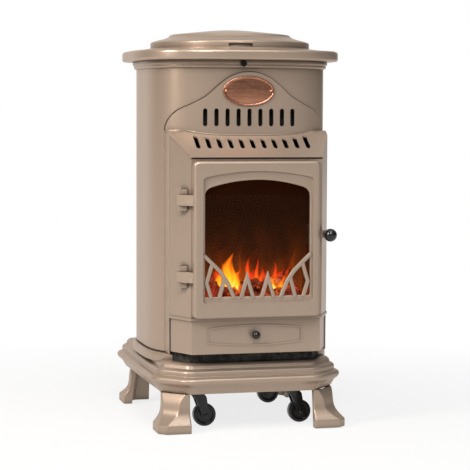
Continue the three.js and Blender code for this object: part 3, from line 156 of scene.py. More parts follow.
def weld(parts):
    """All parts (points, faces) in one bmesh, in metres, doubles merged and faces turned outwards."""
    shape = bmesh.new()
    for verts, faces in parts:
        own = [shape.verts.new(v) for v in (np.asarray(verts, float) + (0, SHIFT, 0)) * MM]
        for face in faces:
            corners = [own[i] for i in dict.fromkeys(face)]
            if len(corners) > 2:
                shape.faces.new(corners)
    bmesh.ops.remove_doubles(shape, verts=shape.verts, dist=WELD)
    bmesh.ops.dissolve_degenerate(shape, edges=shape.edges, dist=WELD / 2)
    bmesh.ops.delete(shape, geom=[v for v in shape.verts if not v.link_faces], context="VERTS")
    bmesh.ops.recalc_face_normals(shape, faces=shape.faces)
    return shape


def finished(name, mesh, finish, replaces=(), body="cabinet", slot=None, crisp=35, bevel=0):
    """A new piece: its shading, modifiers and body. crisp is in degrees, bevel in millimetres. slot is not
    used.
    """
    piece = bpy.data.objects.new(name, mesh)
    mesh.polygons.foreach_set("use_smooth", np.ones(len(mesh.polygons), bool))
    mesh.set_sharp_from_angle(angle=math.radians(crisp))
    mesh.materials.clear()
    mesh.materials.append(finish)
    SCENE.collection.objects.link(piece)
    if bevel:
        soft = piece.modifiers.new("soft edges", "BEVEL")
        soft.width, soft.segments, soft.limit_method = bevel * MM, 3, "ANGLE"
        soft.angle_limit = math.radians(30)
    piece.modifiers.new("flat faces stay flat", "WEIGHTED_NORMAL").keep_sharp = True
    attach(piece, body)
    if replaces:
        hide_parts(*replaces)
    return piece


def build(name, parts, finish, replaces=(), **looks):
    """A new piece from parts (points, faces) in millimetres."""
    mesh = bpy.data.meshes.new(name)
    shape = weld(parts)
    shape.to_mesh(mesh)
    shape.free()
    print(f"{name}: {len(mesh.polygons)} faces")
    return finished(name, mesh, finish, replaces, **looks)


def softened(node, finish, bevel, **looks):
    """A CAD node's own solid, merged, its flat faces made whole and its edges bevelled."""
    shape = bmesh.new()
    shape.from_mesh(NODES[node].data)
    bmesh.ops.remove_doubles(shape, verts=shape.verts, dist=WELD)
    bmesh.ops.dissolve_limit(shape, angle_limit=0.02, verts=shape.verts, edges=shape.edges)
    mesh = bpy.data.meshes.new(node + "_soft")
    shape.to_mesh(mesh)
    shape.free()
    return finished(node + "_soft", mesh, finish, [node], bevel=bevel, **looks)


def paint_shade_inside(piece, finish):
    """The piece's faces that look inwards, at the heater's upright axis, get another finish, the dark painted
    shade of the cabinet's inside.
    """
    mesh = piece.data
    centre, normal = (np.empty(len(mesh.polygons) * 3) for _ in range(2))
    mesh.polygons.foreach_get("center", centre)
    mesh.polygons.foreach_get("normal", normal)
    centre, normal = centre.reshape(-1, 3)[:, :2], normal.reshape(-1, 3)[:, :2]
    # Painted shade: the inward faces take the dark finish that stands in for the shade inside the cabinet.
    mesh.materials.append(finish)
    inward = (centre * normal).sum(1) < -0.3 * np.linalg.norm(centre, axis=1)
    mesh.polygons.foreach_set("material_index", inward.astype(np.int32))


# %% [markdown]
# ## Outlines
#
# The drum's plan is a superellipse, an oval with nearly straight sides, deeper behind than in
# front. The plinth's plan is a rectangle with its front corners cut off and eased. Both can be moved
# outwards along their normals, which is what turns one outline and one profile into a moulding.

# %% Outline functions
FULL_TURN = np.linspace(0, 2 * math.pi, 240, endpoint=False)
FRONT_ARC, REAR_ARC = np.linspace(math.pi, 2 * math.pi, 721), np.linspace(0, math.pi, 721)[::-1]


def around(sides):
    """Angles of a full turn, in equal steps, the last one left open."""
    return np.linspace(0, 2 * math.pi, sides, endpoint=False)


def drum_depth(x, half=DRUM_FRONT):
    """Depth of the drum's face at x: half (1 - |x / DRUM_X|^p)^(1/p)."""
    return half * np.maximum(1 - np.abs(np.asarray(x, float) / DRUM_X) ** DRUM_POWER, 0) ** (1 / DRUM_POWER)


def oval(offset, angles=FULL_TURN):
    """Superellipse |x/a|^p + |y/b|^p = 1 at polar angles, moved along its normal by offset."""
    c, s = np.cos(angles), np.sin(angles)
    half = np.where(s < 0, DRUM_FRONT, DRUM_REAR)
    radius = ((np.abs(c) / DRUM_X) ** DRUM_POWER + (np.abs(s) / half) ** DRUM_POWER) ** (-1 / DRUM_POWER)
    x, y = radius * c, radius * s
    nx = np.sign(c) * (np.abs(x) / DRUM_X) ** (DRUM_POWER - 1) / DRUM_X
    ny = np.sign(s) * (np.abs(y) / half) ** (DRUM_POWER - 1) / half
    return np.stack([x, y], -1) + offset * np.stack([nx, ny], -1) / np.hypot(nx, ny)[:, None]


def drum_face(x, offset, arc=FRONT_ARC):
    """y of the drum's front, or with REAR_ARC of its back, moved out by offset, at x."""
    line = oval(offset, arc)
    return np.interp(x, line[:, 0], line[:, 1])


def unit(vectors):
    """Vectors (n, k) made one long."""
    return vectors / np.linalg.norm(vectors, axis=1)[:, None]


def rounded(corners, radii, steps=6):
    """A polygon whose every corner is a quadratic curve from one side to the next."""
    corners = np.asarray(corners, float)
    before, after = unit(np.roll(corners, 1, 0) - corners), unit(np.roll(corners, -1, 0) - corners)
    half = np.arccos(np.clip((before * after).sum(1), -1, 1)) / 2
    reach = (np.broadcast_to(radii, len(corners)) / np.tan(half))[:, None]
    t = np.linspace(0, 1, steps)[None, :, None]
    start, end = (corners + before * reach)[:, None], (corners + after * reach)[:, None]
    return ((1 - t) ** 2 * start + 2 * t * (1 - t) * corners[:, None] + t**2 * end).reshape(-1, 2)


def plinth_plan(offset):
    """The plinth's plan moved out by offset."""
    w, front, rear = PLINTH_X + offset, PLINTH_FRONT + offset, PLINTH_REAR + offset
    clip = FRONT_CLIP + offset * (2 - math.sqrt(2))
    corners = [(w, rear), (-w, rear), (-w, clip - front), (clip - w, -front), (w - clip, -front),
               (w, clip - front)]
    radii = np.maximum(np.array([REAR_ROUND] * 2 + [PLINTH_FILLET] * 4) + offset, 2)
    return rounded(corners, radii, 9)


def swept(profile, plan):
    """A profile of (offset, z) carried round a plan: one ring of points per profile point."""
    return np.array([at(plan(offset), z) for offset, z in profile])


def eased(points, per_side=4):
    """A Catmull-Rom curve through points (n, k), per_side points to a side."""
    p = np.asarray(points, float)
    p = np.vstack([2 * p[0] - p[1], p, 2 * p[-1] - p[-2]])
    t = np.linspace(0, 1, per_side, endpoint=False)[None, :, None]
    a, b, c, d = p[:-3, None], p[1:-2, None], p[2:-1, None], p[3:, None]
    curve = 0.5 * (2 * b + (c - a) * t + (2 * a - 5 * b + 4 * c - d) * t**2 + (3 * b - a - 3 * c + d) * t**3)
    return np.vstack([curve.reshape(-1, p.shape[1]), p[-2]])


def lathe(profile, sides=72, centre=(0, 0), axis="z"):
    """A profile of (radius, height) turned about z, or about y for a knob that points forward."""
    r, h = np.asarray(profile, float).T
    a, b = r[:, None] * np.cos(around(sides)) + centre[0], r[:, None] * np.sin(around(sides)) + centre[1]
    height = np.broadcast_to(h[:, None], a.shape)
    return grid(np.stack([a, b, height] if axis == "z" else [a, height, b], -1), loop_columns=True)


def tube(points, radius, sides=20, per_side=8):
    """A round tube along a smooth curve. Each ring lies across the curve, kept from twisting."""
    path = eased(points, per_side)
    way = unit(np.gradient(path, axis=0))
    across = unit(np.cross(way, (0.3, 0.2, 0.93)))
    beside = np.cross(way, across)
    angle = around(sides)[None, :, None]
    ring = np.cos(angle) * across[:, None] + np.sin(angle) * beside[:, None]
    return capped(path[:, None] + radius * ring)


# %% [markdown]
# ## Camera
#
# The photograph was taken with a long lens from a little below the heater's rim and a little to its
# left. The camera stands on that line. Its direction tips down a little and it leans by a quarter
# degree, as the picture does. Three axes and a place make its matrix, so nothing has to be aimed.

# %% Camera
TURN, TIP, LEAN = math.radians(14.48), 0.0732, 0.0042
DISTANCE, SIDESTEP, EYE = 3454.0, 12.14, 615.3
LENS, SENSOR = 132.4, 36.0

level_forward = Vector((math.sin(TURN), math.cos(TURN), 0))
forward = level_forward * math.cos(TIP) - Vector((0, 0, math.sin(TIP)))
level_right = Vector((math.cos(TURN), -math.sin(TURN), 0))
level_up = level_right.cross(forward)
right = level_right * math.cos(LEAN) + level_up * math.sin(LEAN)
up = level_up * math.cos(LEAN) - level_right * math.sin(LEAN)
spot = level_right * SIDESTEP - level_forward * DISTANCE + Vector((0, SHIFT, EYE))

camera_data = bpy.data.cameras.new("camera")
camera_data.lens, camera_data.sensor_width = LENS, SENSOR
camera = bpy.data.objects.new("camera", camera_data)
camera.matrix_world = Matrix.Translation(spot * MM) @ Matrix((right, up, -forward)).transposed().to_4x4()
SCENE.collection.objects.link(camera)
SCENE.camera = camera
SCENE.view_settings.view_transform = "Standard"
print("camera at", [round(c, 3) for c in camera.location])

# %% [markdown]
# ## Shader recipes
#
# Every finish is a small tree of nodes. A recipe is a helper that adds one node, sets its sockets by
# name, and links any socket that it is given another node's output for.

# %% Node helpers
def linear(red, green, blue):
    """A colour-chart value (0 to 255, sRGB) as linear light, with an alpha of 1."""
    c = np.array([red, green, blue]) / 255
    return (*np.where(c > 0.04045, ((c + 0.055) / 1.055) ** 2.4, c / 12.92).tolist(), 1.0)


def fill(node, values):
    """Sets a node's sockets by name or number, and links those that are given an output."""
    for key, value in values.items():
        if isinstance(value, bpy.types.NodeSocket):
            node.id_data.links.new(value, node.inputs[key])
        else:
            node.inputs[key].default_value = value


def feed(node, **sockets):
    """The same, with the sockets' names written with _ for a space."""
    fill(node, {key.replace("_", " "): value for key, value in sockets.items()})


def add(kind, inputs=None, tree=None, **settings):
    """One node with its inputs by name or number, in a tree, or in that of the outputs it takes."""
    if tree is None:
        tree = next(value.id_data for value in inputs.values() if isinstance(value, bpy.types.NodeSocket))
    node = tree.nodes.new("ShaderNode" + kind)
    for key, value in settings.items():
        setattr(node, key, value)
    fill(node, inputs or {})
    return node


def compute(operation, *values):
    """A Math node's output."""
    return add("Math", dict(enumerate(values)), operation=operation).outputs[0]


def times(first, *others):
    """A product."""
    for other in others:
        first = compute("MULTIPLY", first, other)
    return first


def scaled(colour, factor):
    """A colour times a factor."""
    return add("VectorMath", {0: colour, "Scale": factor}, operation="SCALE").outputs[0]


def axes(vector):
    """A vector's X, Y and Z."""
    return add("SeparateXYZ", {0: vector}).outputs


def stretched(place, scale, turn=0.0):
    """Coordinates turned about y and scaled, for patterns that run one way."""
    return add("Mapping", {"Vector": place, "Rotation": (0, turn, 0), "Scale": scale}).outputs[0]


def fade(value, low, high, to_low=0.0, to_high=1.0):
    """Value low..high read as to_low..to_high, without overshoot."""
    sockets = {"Value": value, "From Min": low, "From Max": high, "To Min": to_low, "To Max": to_high}
    return add("MapRange", sockets).outputs[0]


def tint(factor, first, second, blend="MIX"):
    """Two colours mixed by a factor."""
    return add("Mix", {0: factor, 6: first, 7: second}, data_type="RGBA", blend_type=blend).outputs[2]


def noise(place, scale, detail=3.0, roughness=0.5):
    """Fractal noise from 0 to 1, scale in lumps per metre."""
    sockets = {"Vector": place, "Scale": scale, "Detail": detail, "Roughness": roughness}
    return add("TexNoise", sockets).outputs["Fac"]


def bump(height, strength, distance=0.0005):
    """A normal bent by a height, distance in metres."""
    return add("Bump", {"Height": height, "Strength": strength, "Distance": distance}).outputs[0]


def group(name, outputs, **inputs):
    """An empty node group. inputs map a socket to its default number, or to the name of another kind."""
    tree = bpy.data.node_groups.new(name, "ShaderNodeTree")
    for key, given in inputs.items():
        kind = "NodeSocket" + (given if isinstance(given, str) else "Float")
        socket = tree.interface.new_socket(key.replace("_", " "), in_out="INPUT", socket_type=kind)
        if given not in ("Vector", "Color"):
            socket.default_value = given
    for key, kind in outputs.items():
        tree.interface.new_socket(key, in_out="OUTPUT", socket_type="NodeSocket" + kind)
    return tree, tree.nodes.new("NodeGroupInput").outputs, tree.nodes.new("NodeGroupOutput")


def use(effect, tree=None, **inputs):
    """An effect's group, its sockets set by name."""
    node = add("Group", None, tree or inputs["Place"].id_data, node_tree=effect)
    feed(node, **inputs)
    return node.outputs


def emptied(owner):
    """The node tree of a new material or world, with nothing in it."""
    owner.use_nodes = True
    owner.node_tree.nodes.clear()
    return owner.node_tree


def material(name):
    """A new material for a slot, its Principled shader and the object's own coordinates."""
    made = bpy.data.materials.new(name)
    tree = emptied(made)
    shader = add("BsdfPrincipled", tree=tree)
    add("OutputMaterial", {0: shader.outputs[0]})
    return made, shader, add("TexCoord", tree=tree).outputs["Object"]


# %% [markdown]
# ## Shared effects
#
# Sprayed metal, cast metal and plastic all show the same few things: a colour that is never quite
# even, fine specks, dust that settles on what faces up, edges that are rubbed bright, a texture from
# the spray or the brush, and painted shade in creases. Each effect is a node group, built once and
# given its own values in each finish.

# %% Effect groups
mottle, given, result = group(
    "mottled colour", {"Colour": "Color", "Cloud": "Float", "Fleck": "Float"}, Place="Vector", Colour="Color",
    Scale=6.0, Spread=0.1, Speck_Scale=900.0, Speck=0.1)
cloud = noise(given["Place"], given["Scale"], 4.0, 0.55)
fleck = noise(given["Place"], given["Speck Scale"], 2.0, 0.7)
swing = times(compute("SUBTRACT", cloud, 0.5), given["Spread"])
sparkle = times(compute("SUBTRACT", fleck, 0.5), given["Speck"])
level = compute("ADD", compute("ADD", swing, sparkle), 1.0)
feed(result, Colour=scaled(given["Colour"], level), Cloud=cloud, Fleck=fleck)

wear, given, result = group("rubbed edges", {"Mask": "Float"},
                            Place="Vector", Low=0.56, High=0.68, Break=60.0)
ridge = fade(add("NewGeometry", tree=wear).outputs["Pointiness"], given["Low"], given["High"])
patchy = fade(noise(given["Place"], given["Break"], 4.0, 0.6), 0.42, 0.62)
feed(result, Mask=times(ridge, patchy))

dust, given, result = group("settled dust", {"Mask": "Float"}, Place="Vector", Amount=0.3, Scale=25.0)
facing_up = axes(add("NewGeometry", tree=dust).outputs["Normal"])["Z"]
drifts = noise(given["Place"], given["Scale"], 5.0, 0.6)
feed(result, Mask=times(fade(facing_up, 0.35, 0.95), fade(drifts, 0.35, 0.75), given["Amount"]))

peel, given, result = group("spray texture", {"Height": "Float"}, Place="Vector", Scale=420.0, Grain=0.4)
ripple = noise(given["Place"], given["Scale"], 2.0, 0.5)
grit = noise(given["Place"], times(given["Scale"], 5.0), 2.0, 0.6)
feed(result, Height=compute("ADD", ripple, times(grit, given["Grain"])))

brush, given, result = group("brush lines", {"Line": "Float", "Band": "Float"}, Place="Vector", Fine=2600.0,
                             Coarse=500.0)
feed(result, Line=noise(given["Place"], given["Fine"], 2.0, 0.6),
     Band=noise(given["Place"], given["Coarse"], 3.0, 0.55))

# Painted shade: ambient occlusion darkens a colour in creases and gaps, down to Darkest.
nook, given, result = group("shade in creases", {"Shade": "Float"}, Reach=0.014, Darkest=0.3)
open_share = add("AmbientOcclusion", {"Distance": given["Reach"]}, samples=8).outputs["AO"]
feed(result, Shade=fade(open_share, 0.25, 0.92, given["Darkest"], 1.0))
print("effects:", [g.name for g in (mottle, wear, dust, peel, brush, nook)])

# %% [markdown]
# ## Bronze enamel
#
# The sheet metal and the castings are sprayed in one satin bronze paint with fine metal flake. It is
# half metal and half pigment, so Metallic sits between the two. The flake is a very fine speck in
# the colour, the spray an orange-peel bump, dust and rubbed edges change the colour a little, and
# painted shade darkens it in creases. The cast door, feet and lid are coarser under the same paint, so they
# take stronger values.

# %% Enamel finishes
BRONZE, BRONZE_RUBBED, DUST_TONE = linear(162, 143, 127), linear(206, 190, 172), linear(176, 162, 148)


def enamel(name, peel_scale, peel_depth, roughness, dusty):
    """Sprayed bronze over sheet or casting. peel_scale is lumps per metre, peel_depth metres."""
    made, shader, place = material(name)
    body = use(mottle, Place=place, Colour=BRONZE, Scale=5.0, Spread=0.1, Speck_Scale=1500.0, Speck=0.22)
    rubbed = use(wear, Place=place)["Mask"]
    dirt = use(dust, Place=place, Amount=dusty)["Mask"]
    colour = tint(times(rubbed, 0.2), body["Colour"], BRONZE_RUBBED)
    # Painted shade: the colour is darkened in creases by the ambient occlusion effect.
    colour = scaled(tint(dirt, colour, DUST_TONE), use(nook, shader.id_data)["Shade"])
    shine = fade(body["Fleck"], 0.3, 0.7, roughness - 0.03, roughness + 0.04)
    height = use(peel, Place=place, Scale=peel_scale)["Height"]
    feed(shader, Base_Color=colour, Metallic=fade(dirt, 0.0, 0.6, 0.52, 0.3),
         Roughness=compute("ADD", shine, times(dirt, 0.5)),
         Normal=bump(height, 0.3, peel_depth), Coat_Weight=0.18, Coat_Roughness=0.2,
         Specular_IOR_Level=0.35, Specular_Tint=(0.8, 0.66, 0.55, 1))
    return made


SHEET_ENAMEL = enamel("bronze enamel on sheet", 420.0, 0.00006, 0.31, 0.05)
CAST_ENAMEL = enamel("bronze enamel on castings", 750.0, 0.0001, 0.36, 0.08)
print("enamels:", SHEET_ENAMEL.name, "/", CAST_ENAMEL.name)

# %% [markdown]
# ## Metals, plastics and rubber
#
# The badge is brushed copper, darker in some bands of the brushing. Brass, zinc plate and the
# lacquered bottle are inside. The knobs are black phenolic, polished, and the castors are moulded.

# %% Metals
def brushed_metal(name, light, dark, stretch, roughness, turn=0.0):
    """Metal rubbed one way: brush lines are noise stretched along one axis by a Mapping node."""
    made, shader, place = material(name)
    lines = use(brush, Place=stretched(place, stretch, turn))
    cloudy = use(mottle, Place=place, Colour=light, Scale=28.0, Spread=0.3)
    stain = fade(lines["Band"], 0.35, 0.75, 0.0, 0.55)
    feed(shader, Base_Color=tint(stain, cloudy["Colour"], dark), Metallic=1.0,
         Roughness=fade(lines["Line"], 0.3, 0.7, roughness - 0.06, roughness + 0.08),
         Normal=bump(lines["Line"], 0.25, 0.00003))
    return made


def zinc_plate():
    """Zinc plate: bright metal in flat crystals, each a little lighter or darker than the next."""
    made, shader, place = material("zinc plate")
    crystal = add("TexVoronoi", {"Vector": place, "Scale": 130.0}).outputs["Color"]
    grey = add("RGBToBW", {0: crystal}).outputs[0]
    body = use(mottle, Place=place, Colour=linear(172, 175, 178), Scale=14.0, Spread=0.2)
    spangle = scaled(body["Colour"], fade(grey, 0.1, 0.9, 0.82, 1.08))
    feed(shader, Base_Color=spangle, Metallic=0.95, Roughness=fade(grey, 0.1, 0.9, 0.28, 0.46),
         Normal=bump(grey, 0.12, 0.00003))
    return made


COPPER = brushed_metal("brushed copper", linear(200, 140, 112), linear(92, 52, 38), (0.05, 1, 1),
                       0.28, 0.85)
BRASS = brushed_metal("turned brass", linear(205, 172, 105), linear(150, 118, 62), (1, 1, 0.1), 0.3)
ZINC = zinc_plate()
print("metals:", COPPER.name, "/", BRASS.name, "/", ZINC.name)

# %% Plastics, rubber and lacquer
def moulded(name, tone, roughness, grain_scale, grain_depth, coat=0.0, spread=0.25, dusty=0.2):
    """Moulded or lacquered, not metal: a deep colour, a fine grain and a little dust."""
    made, shader, place = material(name)
    body = use(mottle, Place=place, Colour=linear(*tone), Scale=30.0, Spread=spread)
    scuffed = use(wear, Place=place, Break=90.0)["Mask"]
    dirt = use(dust, Place=place, Amount=dusty, Scale=60.0)["Mask"]
    worn = tint(times(scuffed, 0.25), body["Colour"], linear(120, 116, 110))
    blurred = fade(compute("ADD", body["Cloud"], dirt), 0.3, 0.9, roughness, roughness + 0.14)
    feed(shader, Base_Color=tint(dirt, worn, DUST_TONE), Specular_IOR_Level=0.3, Roughness=blurred,
         Normal=bump(use(peel, Place=place, Scale=grain_scale)["Height"], 0.3, grain_depth),
         Coat_Weight=coat, Coat_Roughness=0.08)
    return made


FINE, COARSE = 0.00004, 0.0001  # depths of grain, in metres
PHENOLIC = moulded("polished black phenolic", (14, 12, 11), 0.16, 120.0, FINE, 0.4, dusty=0.03)
WHEEL_BLACK = moulded("moulded black tread", (12, 11, 11), 0.22, 900.0, FINE, 0.2, dusty=0.03)
FORK_BLACK = moulded("grained black nylon", (12, 11, 11), 0.22, 1600.0, FINE, 0.3,
                     dusty=0.03)
# Painted shade: a near-black finish for the inward faces and the dark inner pieces.
DARK_PAINTED_SHADE = moulded("dark painted shade inside", (26, 23, 21), 0.7, 500.0, COARSE, dusty=0.05)
SEAL_BROWN = moulded("brown edge seal", (72, 55, 45), 0.6, 500.0, COARSE, dusty=0.05)
HOSE_RUBBER = moulded("orange gas hose", (196, 98, 42), 0.55, 1400.0, FINE * 2)
BOTTLE_BLUE = moulded("blue bottle lacquer", (62, 104, 140), 0.34, 300.0, FINE * 3, 0.35, 0.2)
print("blacks:", PHENOLIC.name, "/", WHEEL_BLACK.name, "/", FORK_BLACK.name)

# %% [markdown]
# ## Fire
#
# Behind the glass the liner is browned and sooty, with painted firelight low on it near the coals.
# The moulded coals glow from inside their cracks, their ash has a faint painted glow too, and the
# flames are thin tongues. A flame is light with no surface: it is Emission whose Alpha fades
# at the edge and at the tip, and its colour goes from yellow white at the root to deep orange.
# Every pattern is in the object's own coordinates, so the glow stays where the gas comes out.

# %% Soot and coals
def sooted(name, tone, glow):
    """Scorched steel: brown to black by cloudy soot. glow is the strength of painted firelight, an emission
    strongest low near the coals.
    """
    made, shader, place = material(name)
    body = use(mottle, Place=place, Colour=linear(*tone), Scale=12.0, Spread=0.7, Speck=0.0)
    soot = fade(noise(place, 22.0, 5.0, 0.65), 0.35, 0.7)
    # Painted firelight: the steel emits warm light, strongest low near the coals and in rising licks, faint
    # everywhere.
    painted_firelight_low = fade(axes(place)["Z"], (WINDOW_LOW + 165) * MM, (WINDOW_LOW - 10) * MM)
    rising = stretched(place, (1, 1, 0.35))
    licks = fade(noise(rising, 34.0, 4.0, 0.6), 0.38, 0.66, 0.25, 1.0)
    warm = compute("ADD", times(compute("POWER", painted_firelight_low, 2.2), licks), 0.045)
    feed(shader, Base_Color=tint(soot, body["Colour"], linear(20, 13, 10)), Roughness=0.78,
         Metallic=0.15, Normal=bump(soot, 0.3, 0.0004),
         Emission_Color=scaled((0.42, 0.11, 0.02), warm), Emission_Strength=glow)
    return made


def glowing_coals():
    """Moulded ceramic: brown ash with a faint painted glow, glowing where the noise opens a crack, deep red
    at the sides.
    """
    made, shader, place = material("glowing coals")
    body = use(mottle, Place=place, Colour=linear(128, 78, 62), Scale=60.0, Spread=1.3)
    crack = add("TexVoronoi", {"Vector": place, "Scale": 90.0}, feature="DISTANCE_TO_EDGE")
    seam = fade(crack.outputs["Distance"], 0.14, 0.0)
    patch = fade(noise(place, 42.0, 4.0, 0.6), 0.5, 0.66)
    aside = compute("ABSOLUTE", compute("SUBTRACT", axes(place)["X"], 0.01))
    heat = compute("ADD", times(seam, 0.4), patch)
    hot = fade(times(heat, fade(aside, 0.085, 0.05)), 0.25, 1.0)
    colour = tint(hot, (0.42, 0.012, 0.008, 1), (1.0, 0.26, 0.04, 1))
    light = scaled(colour, fade(heat, 0.2, 1.3, 0.0, 1.0))
    ash = fade(noise(place, 110.0, 4.0, 0.6), 0.48, 0.66)
    char = fade(noise(place, 55.0, 3.0, 0.6), 0.5, 0.62)
    shell = tint(char, tint(ash, body["Colour"], linear(186, 138, 122)), linear(34, 20, 16))
    # Painted firelight: the ash shell also emits a share of its own colour, besides the glow of the cracks.
    crack_glow_and_painted_ash_glow = tint(1.0, light, tint(1.0, shell, (0.6, 0.3, 0.22, 1), "MULTIPLY"), "ADD")
    feed(shader, Base_Color=shell, Roughness=0.9, Normal=bump(body["Cloud"], 0.6, 0.002),
         Emission_Color=crack_glow_and_painted_ash_glow, Emission_Strength=1.5)
    return made


LINER_SOOT_FIRELIT = sooted("sooted liner with painted firelight", (38, 22, 14), 1.0)
TRAY_SOOT_FIRELIT = sooted("sooted steel with painted firelight", (40, 28, 21), 0.3)
COALS = glowing_coals()
print("soot and coals:", LINER_SOOT_FIRELIT.name, "/", TRAY_SOOT_FIRELIT.name, "/", COALS.name)

# %% Flames and glass
def flame(name, core, root, tip, strength, thin=1.0):
    """A tongue of flame. The mesh's 'along' is 0 at the root and 1 at the tip, 'across' 1 at its sides."""
    made, shader, place = material(name)
    along, across = (add("Attribute", tree=shader.id_data, attribute_name=key).outputs["Fac"]
                     for key in ("along", "across"))
    rim = compute("MAXIMUM", add("LayerWeight", {"Blend": 0.5}, shader.id_data).outputs["Facing"], across)
    lick = noise(stretched(place, (1, 1, 0.4)), 110.0, 3.0, 0.55)
    cooling = compute("ADD", along, times(compute("SUBTRACT", lick, 0.5), 0.7))
    outer = tint(fade(cooling, 0.15, 0.8), (*root, 1), (*tip, 1))
    hot = times(fade(rim, 0.6, 0.1), fade(cooling, 0.42, 0.05))
    body = times(compute("POWER", fade(rim, 1.0, 0.1), 1.5), fade(along, 1.0, 0.35),
                 fade(along, 0.0, 0.12, 0.3, 1.0), fade(lick, 0.3, 0.6, 0.45, 1.0), thin)
    feed(shader, Base_Color=(0, 0, 0, 1), Roughness=1.0, Specular_IOR_Level=0.0, Alpha=body,
         Emission_Color=tint(hot, outer, (*core, 1)), Emission_Strength=strength)
    return made


def smoked_glass():
    """Heat-proof glass, clear with a brown tint, browner in clouds where the fire has been."""
    made, shader, place = material("door glass")
    haze = use(mottle, Place=place, Colour=linear(204, 178, 156), Scale=9.0, Spread=0.25, Speck=0.0)
    feed(shader, Base_Color=haze["Colour"], Roughness=0.0, Metallic=0.0, Transmission_Weight=1.0, IOR=1.1)
    return made


HOT_FLAME = flame("yellow flame", (1.0, 0.8, 0.28), (1.0, 0.52, 0.02), (1.0, 0.22, 0.005), 4.2)
RED_FLAME = flame("red flame", (1.0, 0.42, 0.05), (1.0, 0.2, 0.02), (0.86, 0.03, 0.01), 2.4)
SMOKY_FLAME = flame("smoky glow", (1.0, 0.3, 0.03), (0.8, 0.16, 0.012), (0.45, 0.07, 0.01), 1.0, 0.3)
GLASS = smoked_glass()
print("flames and glass:", HOT_FLAME.name, "/", RED_FLAME.name, "/", SMOKY_FLAME.name, "/", GLASS.name)

# %% [markdown]
# ## Floor and light
#
# A pale floor and soft studio light: a tall warm lamp to the left, a broad one in front and a weak
# one above. What the camera, a reflection or the glass sees of the surroundings is white, by Light
# Path, while the floor keeps its share of real shading, so the contact shadow stays. A reflection
# finds that white only in the backdrop, and elsewhere a dim room, as bronze in a studio does.

# %% Floor and world
FLOOR_HALF = 9.0
SKY_LEVEL, ROOM_LEVEL = 0.17, 0.13


def looking(tree):
    """1 for rays that look from the camera, a reflection or the glass, and 1 for reflections alone."""
    ray = add("LightPath", tree=tree).outputs
    seen = compute("MAXIMUM", compute("MAXIMUM", ray["Is Camera Ray"], ray["Is Glossy Ray"]),
                   ray["Is Transmission Ray"])
    first = fade(ray["Diffuse Depth"], 0.0, 1.0, 1.0, 0.0)
    return times(seen, first), times(ray["Is Glossy Ray"], first)


def pale_floor():
    """A matt floor. For rays that look at it, part of its light is plain white."""
    made = bpy.data.materials.new("pale floor")
    tree = emptied(made)
    place = add("TexCoord", tree=tree).outputs["Object"]
    grain = use(mottle, Place=place, Colour=linear(226, 224, 221), Scale=0.8, Spread=0.03)
    matt = add("BsdfDiffuse", {"Color": grain["Colour"]}).outputs[0]
    white = add("Emission", {"Color": (1, 1, 1, 1), "Strength": 1.0}, tree).outputs[0]
    reach = add("VectorMath", {0: place}, operation="LENGTH").outputs["Value"]
    share = times(looking(tree)[0], fade(reach, 0.35, 1.2, 0.8, 1.0))
    add("OutputMaterial", {0: add("MixShader", {0: share, 1: matt, 2: white}).outputs[0]})
    return made


corners = np.array([(-1, -1), (1, -1), (1, 1), (-1, 1)]) * FLOOR_HALF
floor_mesh = bpy.data.meshes.new("floor")
floor_mesh.from_pydata([(x, y, 0) for x, y in corners], [], [(0, 1, 2, 3)])
floor_mesh.materials.append(pale_floor())
floor = bpy.data.objects.new("floor", floor_mesh)
SCENE.collection.objects.link(floor)

SCENE.world = bpy.data.worlds.new("studio")
sky = emptied(SCENE.world)
seen, reflected = looking(sky)
_, depth, height = axes(add("TexCoord", tree=sky).outputs["Generated"])
room = times(reflected, fade(depth, 0.97, 0.6, 0.0, 1.0 - ROOM_LEVEL),
             fade(height, 0.45, 0.9, 1.0, 0.55))
level = compute("SUBTRACT", fade(seen, 0.0, 1.0, SKY_LEVEL, 1.0), room)
add("OutputWorld", {0: add("Background", {0: (1, 1, 1, 1), 1: level}).outputs[0]})
print("floor half", FLOOR_HALF, "m, sky level", SKY_LEVEL, "room level", ROOM_LEVEL)

# %% Lamps
AIM = Vector((0, 0, 0.6))
for name, place, power, width, height, tone in (
        ("key_left", (-2.8, -1.5, 2.2), 122, 0.7, 1.6, (1.0, 0.93, 0.86)),
        ("front_soft", (-0.5, -3.0, 2.7), 78, 1.4, 1.2, (0.96, 0.99, 1.0)),
        ("top_soft", (0.1, -1.2, 2.9), 26, 1.5, 0.9, (0.97, 0.99, 1.0))):
    data = bpy.data.lights.new(name, "AREA")
    data.shape, data.size, data.size_y, data.energy, data.color = "RECTANGLE", width, height, power, tone
    lamp = bpy.data.objects.new(name, data)
    lamp.location, lamp.visible_transmission = place, False
    lamp.rotation_euler = (AIM - Vector(place)).to_track_quat("-Z", "Y").to_euler()
    SCENE.collection.objects.link(lamp)
    print(name, power, "W")

# %% [markdown]
# ## Plinth
#
# The plinth is a moulded iron base: a bead that stands out at mid height, two steps above it, and a
# soft curve that rises to the deck. It is a profile carried round the plan, as a joiner runs a
# moulding, so a smooth curve through the profile's points is all the shape needs. The drum stands on
# a raised oval seat on the deck.

# %% Plinth
PLINTH_WALL, BEAD = 5.0, 18.0


def at_angles(outline, angles):
    """A closed outline's points on rays at the given angles from its middle."""
    closed = np.vstack([outline, outline[:1]])
    t = np.linspace(0, 1, 24, endpoint=False)[None, :, None]
    dense = (closed[:-1, None] * (1 - t) + closed[1:, None] * t).reshape(-1, 2)
    turn, reach = np.arctan2(dense[:, 1], dense[:, 0]) % (2 * math.pi), np.hypot(dense[:, 0], dense[:, 1])
    order = np.argsort(turn)
    radius = np.interp(angles, turn[order], reach[order], period=2 * math.pi)
    return np.stack([radius * np.cos(angles), radius * np.sin(angles)], -1)


